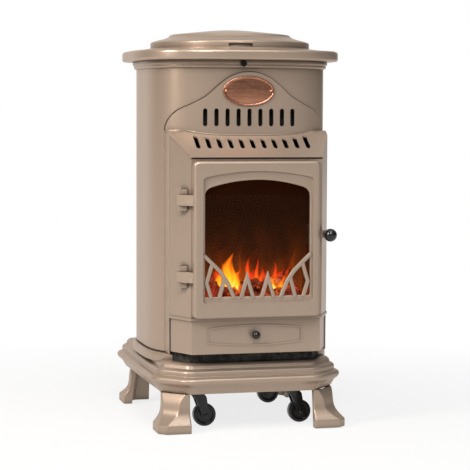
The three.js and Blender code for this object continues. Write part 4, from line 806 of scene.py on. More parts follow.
skirt = [(0, 0), (1.5, 2), (9, 14), (15, 19), (BEAD, 23.2), (BEAD, 27), (15, 31), (9, 33.5), (8, 36), (8, 41),
         (6, 44.5), (0, 48), (-2, 53), (-6, 57), (-10, 59)]
outer_face = [(min(d, BEAD), z) for d, z in eased(skirt, 5)]
inner_face = [(-20, 59), (-20, 54), (-8, 42), (-PLINTH_WALL, 0)]
moulding = [(d, PLINTH_LOW + z) for d, z in [*outer_face, *inner_face]]
seat_rise = [(d, DECK + z) for d, z in eased([(7, 0), (7, 6.5), (6.4, 9.6), (4, 11.6), (1, 12)])]
seat = [(7, DECK - PLINTH_WALL), *seat_rise, (-12, SEAT_TOP), (-12, DECK - PLINTH_WALL)]
deck_edge, deck_hole = at_angles(plinth_plan(-15), FULL_TURN), oval(-11.5)
deck = [at(edge, DECK - drop) for edge, drop in ((deck_edge, 0.2), (deck_hole, 0.2), (deck_hole, 4.8),
                                                 (deck_edge, 4.8))]
build("plinth_moulding", [looped(swept(moulding, plinth_plan)), looped(swept(seat, oval)), looped(deck)],
      CAST_ENAMEL, ["plinth"])

# %% [markdown]
# ## Feet
#
# Each foot is a hollow corner casting. Its outside flares from a slim shaft to a square pad with a
# clipped corner, cut back further where it meets the plinth, and its two arms are thick at the floor.
# One ring of eight eased corners per height, joined from the floor up, makes it, and the other three
# are its mirror images.

# %% Feet
FOOT_X, FOOT_Y, FOOT_WIDTH, FOOT_LIFT, FOOT_PAD = 185.0, 203.0, 63.0, 1.5, 18.0
FOOT_CLIP, FOOT_WALL, FOOT_WAIST, REAR_SHIFT = 13.0, 18.0, 15.0, 15.0
TOP_CUT, TOP_CUT_TALL = 12.0, 26.0  # how far the corner is cut back at the top, over what height
CORNERS = {"front_left": (-1, -1), "front_right": (1, -1), "rear_left": (-1, 1), "rear_right": (1, 1)}
pad_top, foot_top = FOOT_LIFT + FOOT_PAD, height_of("foot_front_left")[1]


def foot_ring(inset, z):
    """The L-shaped section of a foot at height z, its outside inset and its inside leaning in upwards."""
    wall = FOOT_WALL + 10 * (z - FOOT_LIFT) / (foot_top - FOOT_LIFT)
    rise = np.clip((z - foot_top) / TOP_CUT_TALL + 1, 0, 1)
    x, y, clip = FOOT_X - inset, FOOT_Y - inset, FOOT_CLIP + 0.9 * inset + TOP_CUT * rise**2
    ix, iy, wx, wy = FOOT_X - FOOT_WIDTH, FOOT_Y - FOOT_WIDTH, FOOT_X - wall, FOOT_Y - wall
    corners = [(ix, wy), (ix, y), (x - clip, y), (x, y - clip), (x, iy), (wx, iy), (wx, wy - FOOT_WAIST),
               (wx - FOOT_WAIST, wy)]
    return at(rounded(corners, [1.5, 3, 5, 5, 3, 1.5, 4, 4], 5), z)


shaft = np.array([foot_ring(inset, z) for inset, z in eased([
    (2, FOOT_LIFT), (0.6, FOOT_LIFT + 0.7), (0, FOOT_LIFT + 3), (0, pad_top - 3.5), (0.8, pad_top - 1),
    (2.6, pad_top + 0.8), (5, pad_top + 4), (10, pad_top + 11), (13.5, pad_top + 20),
    (FOOT_WAIST, pad_top + 34), (FOOT_WAIST, foot_top)])])
for where, (sx, sy) in CORNERS.items():
    foot = shaft * (sx, sy, 1) + (0, REAR_SHIFT if sy > 0 else 0, 0)
    build(f"foot_casting_{where}", [capped(foot)], CAST_ENAMEL, [f"foot_{where}"], crisp=50)

# %% [markdown]
# ## Drum
#
# The drum is one sheet rolled to an oval. It is open in front, behind the box, and behind, where the
# rear door hangs, and it folds forward to meet the box's sides. Its columns of points fall exactly
# on the edges of those openings, so leaving out cells of the grid makes them, and the seam between
# drum and box is real.

# %% Drum sheet
WRAP_FRONT_TOP, VENT_HALF, VENT_TOP = SHOULDER - 3.8, 107.5, SHOULDER + 47.0
REAR_HALF, REAR_LOW, REAR_TOP = 140.0, DRUM_LOW + 12.0, DRUM_LOW + 536.0
SEAM_Y, FOLD_Y, EASE = -152.5, -143.1, 0.3


def drum_angle(x, half):
    """The polar angle of the drum's face at x, in front (half = DRUM_FRONT) or behind (DRUM_REAR)."""
    depth = drum_depth(x, half)
    return np.arctan2(-depth if half == DRUM_FRONT else depth, x) % (2 * math.pi)


marks = [drum_angle(x, DRUM_FRONT) for x in (-SHOULDER_X, -VENT_HALF, VENT_HALF, SHOULDER_X)]
marks += [drum_angle(x, DRUM_REAR) for x in (-REAR_HALF, REAR_HALF)]
columns = np.unique(np.concatenate([around(220), marks]).round(9))
levels = [DRUM_LOW, REAR_LOW, WRAP_FRONT_TOP, VENT_TOP, REAR_TOP, DRUM_TOP]
skins = [np.array([at(oval(d, columns), z) for z in levels]) for d in (0, -SHEET)]
middle = (columns + np.roll(columns, -1)) / 2
middle[-1] = (columns[-1] + 2 * math.pi) / 2
mid = oval(0, middle)
front, rear, x_mid = mid[:, 1] < 0, mid[:, 1] > 0, np.abs(mid[:, 0])
band = np.arange(len(levels) - 1)[:, None]
open_cells = (front & (x_mid < SHOULDER_X) & (band < 2)) | (front & (x_mid < VENT_HALF) & (band < 3))
open_cells |= rear & (x_mid < REAR_HALF) & (band > 0) & (band < 4)
fold_back = -float(drum_depth(SHOULDER_X)) + 0.4
fold = [(SEAM_Y, DRUM_LOW), (fold_back, DRUM_LOW), (fold_back, WRAP_FRONT_TOP - EASE),
        (FOLD_Y, WRAP_FRONT_TOP - EASE), (SEAM_Y, EAVES + SLOPE * (SEAM_Y + BOX_FRONT) - 4.1)]
folds = [prism(fold, "x", *sorted((side * SHOULDER_X, side * (SHOULDER_X - SHEET)))) for side in (-1, 1)]
# Painted shade: the drum sheet's inward faces are dark.
paint_shade_inside(build("drum_sheet", [slab(*skins, keep=~open_cells, loop_columns=True), *folds], SHEET_ENAMEL,
            ["cabinet_wrap"]), DARK_PAINTED_SHADE)

# %% [markdown]
# ## Rim: collar and top ring
#
# Under the rim a stepped collar hides the drum's edge. The top ring overhangs it: its outer edge is
# rolled, and its face changes from the drum's oval to the round mouth under the lid, where it turns
# up. The change is a plain mix of the two outlines, ring by ring, with an eased rise.

# %% Collar and top ring
collar_face = eased([(7.2, 15), (7.5, 14.2), (7.5, 9.6), (6.8, 8.2), (5.2, 7.2), (5, 6), (5, 3.6), (4.2, 1.8),
                     (1.5, 0)], 3)
collar = [(d, COLLAR_LOW + z) for d, z in [(0.3, 15), *collar_face, (0.3, 0)]]
build("stepped_collar", [looped(swept(collar, oval))], SHEET_ENAMEL, ["collar"], crisp=50)

RING_EDGE, RING_FACE = 22.5, RING_LOW + 20.0
MOUTH, SEAT_R = 150.0, LID_R + 7.0
rolled = eased([(RING_EDGE, 0), (26.8, 0.9), (28.3, 3.6), (28.5, 6.5), (28.5, 12.5), (28.2, 15.6),
                (26.6, 18.4), (RING_EDGE, 20)])
edge = swept([(d, RING_LOW + z) for d, z in [(-8, 0), *rolled]], oval)
circle = np.stack([np.cos(FULL_TURN), np.sin(FULL_TURN)], -1)
face = [at(oval(RING_EDGE) * (1 - mix) + circle * SEAT_R * mix, RING_FACE + 4.5 * mix**1.6)
        for mix in np.linspace(0, 1, 14)[1:]]
lip = eased([(SEAT_R, 4.5), (SEAT_R - 4, 5.4), (SEAT_R - 8, 5.5), (MOUTH + 3.6, 5.5), (MOUTH + 2.7, 6.2),
             (MOUTH + 2.5, 8), (MOUTH + 2.4, 12.8), (MOUTH + 1.9, 13.5), (MOUTH + 0.7, 13.5),
             (MOUTH + 0.1, 12.8), (MOUTH, 11)], 3)
mouth = [at(circle * r, RING_FACE + z) for r, z in [*lip[1:], (MOUTH, -4)]]
build("top_ring_rolled", [looped([*edge, *face, *mouth])], SHEET_ENAMEL, ["top_ring"], crisp=50)

# %% [markdown]
# ## Lid
#
# The lid is a casting with stepped rings, domed in the middle, with a finger notch in its front edge.
# It is turned on a lathe, except that the foot of its band rises to the notch's height between two
# angles. The tongue behind rides the hinge pin.

# %% Lid
LID_INNER, BAND, NOTCH_HALF, NOTCH_RISE, NOTCH_TURN = LID_R - 3.0, 9.0, 23.0, 9.0, 6.5
LID_HINGE_Y, LID_PIN_Z, TONGUE = 166.0, LID_LOW + 4.5, 12.0
notch_mid, notch_reach = math.radians(270 - NOTCH_TURN), NOTCH_HALF / LID_R
near_notch = notch_mid + np.repeat([-1, 1], 7) * notch_reach + np.tile(np.linspace(-0.014, 0.014, 7), 2)
turns = np.unique(np.concatenate([around(220), near_notch]).round(9))
outside = eased([(LID_R, 3), (LID_R, 8.6), (157.1, 10.6), (155.5, 12), (148.5, 14.5), (134, 18.2),
                 (124.5, 21.6), (121, 23.8), (118.6, 26.2), (115, 27.5), (96, 29.6), (78, 31.5),
                 (58, 33.6), (40, 35.3), (20, 36.6), (0.01, 37)])
inside = [(0.01, 34), (112, 24), (146, 12.5), (LID_INNER, 8), (LID_INNER, 3)]
ring = np.array([(LID_INNER, 0), (LID_R, 0), *outside, *inside])
radius, z = ring[:, :1], ring[:, 1:]
notch = np.clip((notch_reach - np.abs(turns - notch_mid)) / 0.008 + 0.5, 0, 1)
notch = NOTCH_RISE * notch**2 * (3 - 2 * notch)
heights = z + np.clip((BAND - z) / BAND, 0, 1) * notch * (BAND - z) / BAND
shell = np.stack([radius * np.cos(turns), radius * np.sin(turns), LID_LOW + heights], -1)
tongue_side = [(LID_R - 3.5, LID_PIN_Z - 3.5), (LID_HINGE_Y, LID_PIN_Z - 3.5), (LID_HINGE_Y, LID_PIN_Z + 3.5),
               (LID_R - 3.5, LID_PIN_Z + 3.5)]
angle = around(32)
barrel = [np.column_stack([np.full(32, x), LID_HINGE_Y + r * np.cos(angle), LID_PIN_Z + r * np.sin(angle)])
          for x, r in ((-TONGUE, 2.8), (-TONGUE, 4.25), (0.5 - TONGUE, 4.75), (TONGUE - 0.5, 4.75),
                       (TONGUE, 4.25), (TONGUE, 2.8))]
build("lid_casting", [looped(shell), prism(tongue_side, "x", -TONGUE, TONGUE), looped(barrel)],
      CAST_ENAMEL, ["lid"], body="lid", crisp=45)

# %% [markdown]
# ## Canopy
#
# The canopy is a sloping roof with eleven slots and, above it, a bell-shaped plate with nine. Every
# slot is as wide as its pitch allows and has round ends. The columns of points follow the slots, and
# the rows bend up and down to draw the round ends, so a slot is simply a run of cells left out. A
# bead of paint rounds the fold between roof and plate, and a brown seal lies under the plate's edge.

# %% Canopy grids
SLOT_PITCH, SLOT_HALF, PLATE_BACK, PLATE_FACE, ROOF_SHEET = 21.5, 4.25, 0.3, 5.0, 3.5
ARCH_SLOTS, ARCH_SLOT_LOW, ARCH_SLOT_TALL = 9, SHOULDER + 8.0, 34.0
ROOF_SLOTS, ROOF_SETBACK, ROOF_MARGIN = 11, 24.0, 9.0


def roof_height(y):
    """The roof's top: it climbs from the eaves and ends level with the shoulder."""
    return np.minimum(EAVES + SLOPE * (y + BOX_FRONT), SHOULDER)


def slot_columns(count, extra):
    """x of every column: close together at the slots' ends, and the extra ones. Also the slots' middles."""
    across = -SLOT_HALF * np.cos(np.linspace(0, math.pi, 11))
    centres = (np.arange(count) - (count - 1) / 2) * SLOT_PITCH
    everywhere = [(centres[:, None] + across).ravel(), centres + SLOT_PITCH / 2, extra]
    return np.unique(np.concatenate(everywhere).round(6)), centres


def round_ends(x, centres):
    """How far a slot's round end falls back at x, 0 on its centre line, and which cells are in a slot."""
    side = np.abs(x[:, None] - centres).min(1)
    in_slot = side < SLOT_HALF - 1e-4
    return SLOT_HALF - np.sqrt(np.maximum(SLOT_HALF**2 - side**2, 0)), in_slot[:-1] | in_slot[1:]


def between(low, high, count):
    """Rows of values from low to high, count of them, the first left out."""
    return low + (high - low) * np.linspace(0, 1, count + 1)[1:, None]


def without(rows, columns, first, last, in_slot):
    """The cells to keep: all but those of the rows first to last that are in a slot."""
    keep = np.ones((rows - 1, columns - 1), bool)
    keep[first:last, in_slot] = False
    return keep


def rolled_sheet(x, z, faces, arc, keep):
    """A sheet that follows the drum, between two offsets from it, on a grid of columns x and heights z."""
    skins = (np.broadcast_arrays(x, drum_face(x, offset, arc), z) for offset in faces)
    return slab(*(np.stack(skin, -1) for skin in skins), keep)


bell = eased([(0, 0), (17, -1.5), (40, -10.5), (61.5, -26.5), (84, -46), (111, -61), (135, -72.5), (148, -86),
              (154.5, -100), (SHOULDER_X, -111)], 8)
tail = np.linspace(146, SHOULDER_X, 12)
x, centres = slot_columns(ARCH_SLOTS, [*np.linspace(-SHOULDER_X, SHOULDER_X, 53), *tail, *-tail])
fall, in_slot = round_ends(x, centres)
top = ARCH_TOP + np.interp(np.abs(x), bell[:, 0], bell[:, 1])
foot = roof_height(drum_face(x, PLATE_FACE)) - 1.5
slot_low = np.minimum(ARCH_SLOT_LOW + fall, foot + 0.35 * (top - foot))
slot_high = np.minimum(ARCH_SLOT_LOW + ARCH_SLOT_TALL - fall, foot + 0.86 * (top - foot))
z = np.vstack([foot[None], between(foot, slot_low, 2), between(slot_low, slot_high, 4),
               between(slot_high, top, 8)])
bell_plate = rolled_sheet(x, z, (PLATE_FACE, PLATE_BACK), FRONT_ARC, without(*z.shape, 2, 6, in_slot))

x, centres = slot_columns(ROOF_SLOTS, [*np.linspace(-SHOULDER_X, SHOULDER_X, 40), -BOX_X, BOX_X])
fall, in_slot = round_ends(x, centres)
chamfer_run = (BOX_FRONT - SHOULDER_Y) / (SHOULDER_X - BOX_X)
front_edge = -BOX_FRONT + np.maximum(np.abs(x) - BOX_X, 0) * chamfer_run
crease = drum_face(x, PLATE_FACE)
run, beside = crease - front_edge, np.abs(x) > centres[-1] + SLOT_HALF
y_low = np.where(beside, front_edge + 0.4 * run,
                 np.minimum(-BOX_FRONT + ROOF_SETBACK + fall, front_edge + 0.45 * run))
y_high = np.where(beside, front_edge + 0.8 * run, crease - ROOF_MARGIN - fall)
y = np.vstack([front_edge[None], between(front_edge, y_low, 3), between(y_low, y_high, 4),
               between(y_high, crease + 4, 3)])
skins = (np.stack(np.broadcast_arrays(x, y, roof_height(y) - drop), -1) for drop in (0, ROOF_SHEET))
roof = slab(*skins, without(*y.shape, 3, 7, in_slot))
lip = [(-BOX_FRONT, LIP), (-BOX_FRONT + ROOF_SHEET, LIP), (-BOX_FRONT + ROOF_SHEET, EAVES - 0.6),
       (-BOX_FRONT, EAVES - 0.6)]
bead_x = np.linspace(1 - SHOULDER_X, SHOULDER_X - 1, 80)
bead_y = drum_face(bead_x, PLATE_FACE)
bead = tube(np.column_stack([bead_x, bead_y - 0.3, roof_height(bead_y) + 0.3]), 1.3, 12, 1)
# Painted shade: the canopy's inward faces are dark.
paint_shade_inside(build("canopy_slotted", [bell_plate, roof, prism(lip, "x", -BOX_X, BOX_X), bead], SHEET_ENAMEL,
            ["canopy_fascia"], bevel=0.9), DARK_PAINTED_SHADE)

# %% Seal under the bell plate
rim = np.vstack([bell[::-1] * (-1, 1), bell[1:]])
way = unit(np.gradient(rim, axis=0))
rim = rim + 0.5 * np.column_stack([-way[:, 1], way[:, 0]])
seal = np.column_stack([rim[:, 0], drum_face(rim[:, 0], 0.9), ARCH_TOP + rim[:, 1]])
build("bell_plate_seal", [tube(seal, 1.15, 10, 1)], SEAL_BROWN, crisp=60)

# %% [markdown]
# ## Box front
#
# Below the canopy the front is folded sheet: a surround with sloping sides that holds the door, and a
# lower panel with the pressed outline of an ash drawer. Their faces are flat and their edges are soft
# from the paint, so the model's own solids serve, merged, cleaned and bevelled. A dark strip in
# the gap between the lower panel and the plinth is painted shade.

# %% Surround, lower panel, painted shade strip and drawer knob
PANEL_FACE = BOX_FRONT - 3.0


def ball_knob(name, node, x, z, y_ball, y_seat, radius, stem, body="cabinet"):
    """A ball on a waisted stem that points forward, turned from one eased profile."""
    turn = np.linspace(0.0001, math.pi * 0.86, 18)
    ball = np.column_stack([radius * np.sin(turn), y_ball - radius * np.cos(turn)])
    neck = eased([ball[-1], (stem * 1.02, y_ball + radius * 1.05), (stem, y_ball + radius * 1.4),
                  (stem, y_seat - stem * 0.7), (stem * 1.5, y_seat - 0.4), (stem * 1.5, y_seat)])
    profile = [*ball, *neck[1:], (0.01, y_seat)]
    build(name, [lathe(profile, 56, (x, z), "y")], PHENOLIC, [node], body=body, crisp=50)


# Painted shade: a dark strip set back under the lower panel stands in for the shade in that gap.
strip = [(-146, -139), (-121, -178), (121, -178), (146, -139), (144.5, -138), (120.2, -176.5),
         (-120.2, -176.5), (-144.5, -138)]
build("painted_shade_strip", [prism(strip, "z", DECK + 0.2, PANEL_LOW + 3)], DARK_PAINTED_SHADE, crisp=40)
# Painted shade: the inward faces of the surround and the lower panel are dark.
paint_shade_inside(softened("door_surround", SHEET_ENAMEL, 0.8), DARK_PAINTED_SHADE)
paint_shade_inside(softened("lower_panel", SHEET_ENAMEL, 0.7), DARK_PAINTED_SHADE)
ball_knob("drawer_ball_knob", "drawer_knob", -3.0, PANEL_LOW + 35.5, -PANEL_FACE - 11.0, -PANEL_FACE - 0.3,
          8.0, 3.2)

# %% [markdown]
# ## Badge
#
# The badge is a plain oval of copper, slightly domed, with a raised rim, and two rivets hold it. Its
# rings are ellipses that shrink towards the middle, and a profile gives each ring its height. It is
# left plain, and brushed slantwise.

# %% Badge and rivets
BADGE_X, BADGE_Z, BADGE_W, BADGE_H, BADGE_RIM = -2.0, ARCH_TOP - 36.0, 50.5, 28.5, 6.0
badge_back = -(DRUM_FRONT + PLATE_FACE) - 0.3
domed = eased([(0, 0), (0, 1.2), (0.5, 1.9), (1.6, 2.1), (2.8, 1.9), (3.6, 1.3), (5.5, 1.15), (12, 1.6),
               (20, 1.95), (28.49, 2.1)], 3)
inset, proud = domed[:, :1], domed[:, 1:]
tall = BADGE_H - inset
wide = np.where(inset < BADGE_RIM, BADGE_W - inset, (BADGE_W - BADGE_RIM) * tall / (BADGE_H - BADGE_RIM))
turn = around(160)
plate = [BADGE_X + wide * np.cos(turn), badge_back - proud + 0 * turn, BADGE_Z + tall * np.sin(turn)]
build("oval_badge", [capped(np.stack(plate, -1)[:-1])], COPPER, ["badge"], crisp=50)
head = [(0.01, -3.4), (1.2, -3.3), (2.2, -2.85), (2.8, -2.2), (3, -1.5), (0.01, -1.0)]
for where, side in (("left", -1), ("right", 1)):
    spin = lathe([(r, badge_back + y) for r, y in head], 28, (BADGE_X + side * (BADGE_W - 6), BADGE_Z), "y")
    build(f"rivet_head_{where}", [spin], COPPER, [f"badge_rivet_{where}"], crisp=50)

# %% [markdown]
# ## Door
#
# The door is one iron casting: a rolled outer edge, a flat face, a shallow recess with an arched top,
# and a window whose foot is crossed by a grate of slanting bars. The outer edge, the recess and the
# window are the same kind of outline, drawn with the same number of points, so rings that run from
# one to the next make the whole casting. The grate's bars are rounded strips with mitred corners.

# %% Door outlines and casting
DOOR_FACE = DOOR_BACK - DOOR_THICK
CORNER_STEPS, SIDE_STEPS = 8, 16


def arched(x0, x1, low, side_top, rise, r, q):
    """A rectangle with an arched top, z = side_top + rise (1 - u^2), its foot rounded by r, its top by q."""
    mid, half = (x0 + x1) / 2, (x1 - x0) / 2
    t, s = np.linspace(0, 1, CORNER_STEPS)[:, None], np.linspace(0, 1, SIDE_STEPS)[1:-1, None]

    def crown(x):
        return side_top + rise * (1 - ((x - mid) / half) ** 2)

    def bend(*corner):
        a, b, c = np.array(corner)
        return (1 - t) ** 2 * a + 2 * t * (1 - t) * b + t**2 * c

    def line(*ends):
        a, b = np.array(ends)
        return a + (b - a) * s

    crown_x = np.linspace(x1 - q, x0 + q, SIDE_STEPS)[1:-1]
    return np.vstack([
        bend((x0, low + r), (x0, low), (x0 + r, low)), line((x0 + r, low), (x1 - r, low)),
        bend((x1 - r, low), (x1, low), (x1, low + r)), line((x1, low + r), (x1, side_top - q)),
        bend((x1, side_top - q), (x1, crown(x1)), (x1 - q, crown(x1 - q))),
        np.column_stack([crown_x, crown(crown_x)]),
        bend((x0 + q, crown(x0 + q)), (x0, crown(x0)), (x0, side_top - q)),
        line((x0, side_top - q), (x0, low + r)),
    ])


def door_edge(inset):
    """The door's outer edge, moved in."""
    r = max(10 - 0.6 * inset, 2)
    return arched(DOOR_LEFT + inset, DOOR_RIGHT - inset, DOOR_LOW + inset, DOOR_TOP - inset, 0, r, r)


def recess(grow):
    """The recess's edge, moved out."""
    return arched(DOOR_LEFT + RECESS_LEFT - grow, DOOR_RIGHT - RECESS_RIGHT + grow,
                  DOOR_LOW + RECESS_LOW - grow, DOOR_TOP - RECESS_TOP + grow,
                  RECESS_RISE, 5 + grow, 5 + grow)


def window(grow):
    """The window's edge, moved out."""
    return arched(WINDOW_X - WINDOW_HALF - grow, WINDOW_X + WINDOW_HALF + grow, WINDOW_LOW - grow,
                  WINDOW_LOW + WINDOW_TALL + grow, WINDOW_RISE, 3 + grow, 14 + grow)


edge_roll = eased([(0, 6.5), (0.15, 4.4), (0.9, 2.5), (2.4, 0.9), (4.4, 0.15), (6.5, 0)], 3)
recess_step = [(1.8, 0.0), (1.0, 0.3), (0.4, 1.1), (-0.1, 2.6), (-0.6, 3.5), (-1.4, 3.9), (-2.4, 4.0)]
window_roll = [(4.4, 4.0), (3.4, 3.6), (2.4, 3.5), (1.4, 3.7), (0.6, 4.2), (0.15, 5.0), (0, 5.8), (0, 10)]
rings = [(door_edge(0), DOOR_BACK)]
for outline, steps in ((door_edge, edge_roll), (recess, recess_step), (window, window_roll)):
    rings += [(outline(move), DOOR_FACE + y) for move, y in steps]
rings += [(door_edge(8), DOOR_FACE + 10), (door_edge(8), DOOR_BACK)]
casting = looped([at(line, y)[:, [0, 2, 1]] for line, y in rings])

# %% Grate, straps and lug
BAR_WIDTH, BAR_DEPTH = 7.5, 6.0
GRATE_RUNS = [[(104, 78), (87, 62), (71, 46), (58, 27), (45, -3)], [(64, 33), (74, -3)],
              [(88, 60), (98.5, 26), (89, -3)], [(32, -3), (20, 35), (8, -3)]]
STRAP_HALF, KNUCKLE, STRAP_Y = 10.0, 6.5, DOOR_BACK - DOOR_THICK * 0.75
HINGE_HEIGHTS = {"lower": DOOR_LOW + 77, "upper": DOOR_LOW + 221}
KNOB_X, KNOB_Z, LUG_FRONT = DOOR_RIGHT + 14.0, DOOR_LOW + 155.0, DOOR_BACK - 13.0


def grate_bar(points):
    """A rounded bar along a polyline in the door's plane, its corners mitred."""
    p = np.asarray(points, float)
    way = unit(np.diff(p, axis=0))
    before, after = np.vstack([way[:1], way]), np.vstack([way, way[-1:]])
    normal = unit(before + after)
    square = np.column_stack([-normal[:, 1], normal[:, 0]]) / (normal * before).sum(1)[:, None]
    w, d = BAR_WIDTH / 2, BAR_DEPTH
    section = rounded([(-w, 0), (w, 0), (w, d), (-w, d)], [1.8, 1.8, 0.4, 0.4], 5)
    flat = p[:, None] + square[:, None] * section[None, :, :1]
    y = np.broadcast_to(DOOR_FACE + 2 + section[:, 1], flat.shape[:2])
    return capped(np.stack([flat[..., 0], y, flat[..., 1]], -1))


def knuckle(z0, z1, radius, bore, x, y, sides):
    """An upright tube with eased rims."""
    rings = [(bore, z0), (radius - 0.7, z0), (radius - 0.15, z0 + 0.25), (radius, z0 + 0.8),
             (radius, z1 - 0.8), (radius - 0.15, z1 - 0.25), (radius - 0.7, z1), (bore, z1), (bore, z0)]
    return lathe(rings, sides, (x, y))


bars = [grate_bar([(WINDOW_X + flip * x, WINDOW_LOW + z) for x, z in run])
        for run in GRATE_RUNS for flip in (-1, 1)]
strap_plan = [(HINGE_X - 4.2, HINGE_Y - 5), (DOOR_LEFT + 1, STRAP_Y), (DOOR_LEFT + 1, STRAP_Y + 9.6),
              (HINGE_X + 5.5, HINGE_Y - 0.5)]
straps = []
for z in HINGE_HEIGHTS.values():
    straps += [knuckle(z - STRAP_HALF, z + STRAP_HALF, KNUCKLE, 3.3, HINGE_X, HINGE_Y, 40),
               prism(strap_plan, "z", z - STRAP_HALF, z + STRAP_HALF)]
arc = np.linspace(-math.pi / 2, math.pi / 2, 13)
lug = [(DOOR_RIGHT - 2, KNOB_Z + 7), (DOOR_RIGHT - 2, KNOB_Z - 7),
       *np.column_stack([KNOB_X + 7 * np.cos(arc), KNOB_Z + 7 * np.sin(arc)])]
build("door_casting", [casting, *bars, *straps, prism(lug, "y", LUG_FRONT, LUG_FRONT + 8)], CAST_ENAMEL,
      ["door_frame"], body="door", bevel=0.5, crisp=40)
ball_knob("door_ball_knob", "door_knob", KNOB_X, KNOB_Z, -BOX_FRONT - 39.0, LUG_FRONT - 0.3, 12.3, 4.0,
          "door")
for node, finish, edge in (("glass_clip_left", ZINC, 0.4), ("glass_clip_right", ZINC, 0.4),
                           ("door_glass", GLASS, 0.5)):
    softened(node, finish, edge, body="door")

# %% [markdown]
# ## Door hinges
#
# Two cast brackets stand on the box's sloping side, each with two lugs, and the door's knuckle turns
# between them on a pin with a small head.

# %% Brackets and pins
PIN_HALF = STRAP_HALF + 10.3
for where, z in HINGE_HEIGHTS.items():
    softened(f"hinge_bracket_{where}", CAST_ENAMEL, 0.9)
    low, high = z - PIN_HALF, z + PIN_HALF
    pin = [(0.01, low), (2.6, low), (3, low + 0.5), (3, high + 0.4), (4.8, high + 0.5), (4.8, high + 1.3),
           (4.2, high + 2.1), (2.2, high + 2.5), (0.01, high + 2.5)]
    turned = lathe(pin, 32, (HINGE_X, HINGE_Y))
    build(f"hinge_pin_headed_{where}", [turned], CAST_ENAMEL, [f"hinge_pin_{where}"])

# %% [markdown]
# ## Castors
#
# Under the plinth four castors carry the weight: a zinc plate, a grained nylon fork whose two curved
# arms trail beside the kingpin, an axle, and a hard black wheel with a recessed hub.

# %% Castors
CASTOR_X, CASTOR_Y, TRAIL, WHEEL_R, WHEEL_W = 96.0, 115.0, 18.0, 22.5, 19.0
FORK_TOP, PIN_TOP = height_of("castor_plate_front_left")[1] - 4.0, height_of("castor_fork_front_left")[1]
CHEEK_IN, CHEEK_OUT = WHEEL_W / 2 + 1.2, WHEEL_W / 2 + 4.2
tread = eased([(WHEEL_R, 0), (22.4, 4.5), (22.0, 7.2), (20.9, 8.9), (19.2, 9.5), (16.8, 9.4), (15.6, 8.8),
               (15.1, 7.9), (14.2, 7.4), (9, 7.2), (8.2, 7.6), (7.9, 8.5), (7.2, 8.9), (4.2, 8.9),
               (3.8, 8.6)], 3)
tyre = [(r, -y) for r, y in tread[::-1]] + [(r, y) for r, y in tread[1:]]
arm = rounded([(-10, FORK_TOP - 5), (-10, FORK_TOP), (10, FORK_TOP), (20, FORK_TOP - 11),
               (TRAIL + 7, WHEEL_R + 6), (TRAIL + 6, WHEEL_R - 7), (TRAIL - 6, WHEEL_R - 7),
               (TRAIL - 9, WHEEL_R + 5), (-1, FORK_TOP - 16)], [3, 2.5, 8, 10, 8, 6, 6, 8, 9], 8)
bridge = rounded([(-11, FORK_TOP - 4), (-11, FORK_TOP), (13, FORK_TOP), (13, FORK_TOP - 4)], 1.5, 4)
kingpin = [*eased([(0.01, FORK_TOP - 5), (13, FORK_TOP - 5), (15, FORK_TOP - 4), (15, FORK_TOP - 1.2),
                   (14, FORK_TOP), (5, FORK_TOP)]), (5, PIN_TOP - 0.6), (4.4, PIN_TOP), (0.01, PIN_TOP)]
cap = [(0.01, 2.4), (2.6, 2.2), (3.9, 1.4), (4.4, 0.3), (4.4, 0), (0.01, 0)]
for where, (sx, sy) in CORNERS.items():
    cx, cy = sx * CASTOR_X, sy * CASTOR_Y
    hub = (cx + TRAIL, WHEEL_R)
    softened(f"castor_plate_{where}", ZINC, 0.5)
    cheeks = [prism(arm + (cx, 0), "y", cy + low, cy + high)
              for low, high in ((CHEEK_IN, CHEEK_OUT), (-CHEEK_OUT, -CHEEK_IN))]
    axle = [(0.01, cy - CHEEK_OUT), (3.4, cy - CHEEK_OUT), (3.4, cy + CHEEK_OUT), (0.01, cy + CHEEK_OUT)]
    caps = [lathe([(r, cy + s * (CHEEK_OUT - 0.1 + y)) for r, y in cap], 32, hub, "y") for s in (-1, 1)]
    build(f"castor_fork_arms_{where}", [
        lathe(kingpin, 48, (cx, cy)), *cheeks, prism(bridge + (cx, 0), "y", cy - CHEEK_OUT, cy + CHEEK_OUT),
        lathe(axle, 32, hub, "y"), *caps,
    ], FORK_BLACK, [f"castor_fork_{where}"], body=f"castor_{where}", bevel=0.6)
    wheel = lathe([(r, cy + y) for r, y in [*tyre, tyre[0]]], 64, hub, "y")
    build(f"castor_wheel_turned_{where}", [wheel], WHEEL_BLACK, [f"castor_wheel_{where}"],
          body=f"wheel_{where}", crisp=50)

# %% [markdown]
# ## Firebox
#
# Behind the glass: a sooty liner with painted firelight, a tray, and a bed of moulded ceramic coals in
# three rows. A coal is a ball whose points are pushed in and out by a sum of slanting sine waves, its
# own for each coal, then squeezed. A dark baffle above the liner keeps light out of the drum, and its
# dark finish is painted shade where it shows through the slots. The flames are thin closed tongues
# that stand among the coals.

# %% Liner, tray and coals
TRAY_LOW, TRAY_TOP = height_of("burner_tray")
LINER_TOP = height_of("firebox_liner")[1]
COAL_ROWS = ((8, -181, 3), (7, -169, 15), (5, -158, 22))  # coals, y, height over the tray
for node, finish, edge in (("firebox_liner", LINER_SOOT_FIRELIT, 0.6), ("burner_tray", TRAY_SOOT_FIRELIT, 0.5),
                           ("pilot_sensor", BRASS, 0.4), ("magnet_catch", ZINC, 0.5)):
    softened(node, finish, edge)


def waves(points, seed, count=14, finest=3.2):
    """A smooth random height: a sum of sine waves of random direction, weaker as they get finer."""
    draw = np.random.default_rng(seed)
    ways = unit(draw.normal(size=(count, 3)))
    pace = np.linspace(1.2, finest * 2, count)
    phase = draw.uniform(0, 2 * math.pi, count)
    return (np.sin(points @ (ways * pace[:, None]).T + phase) / pace).sum(-1)


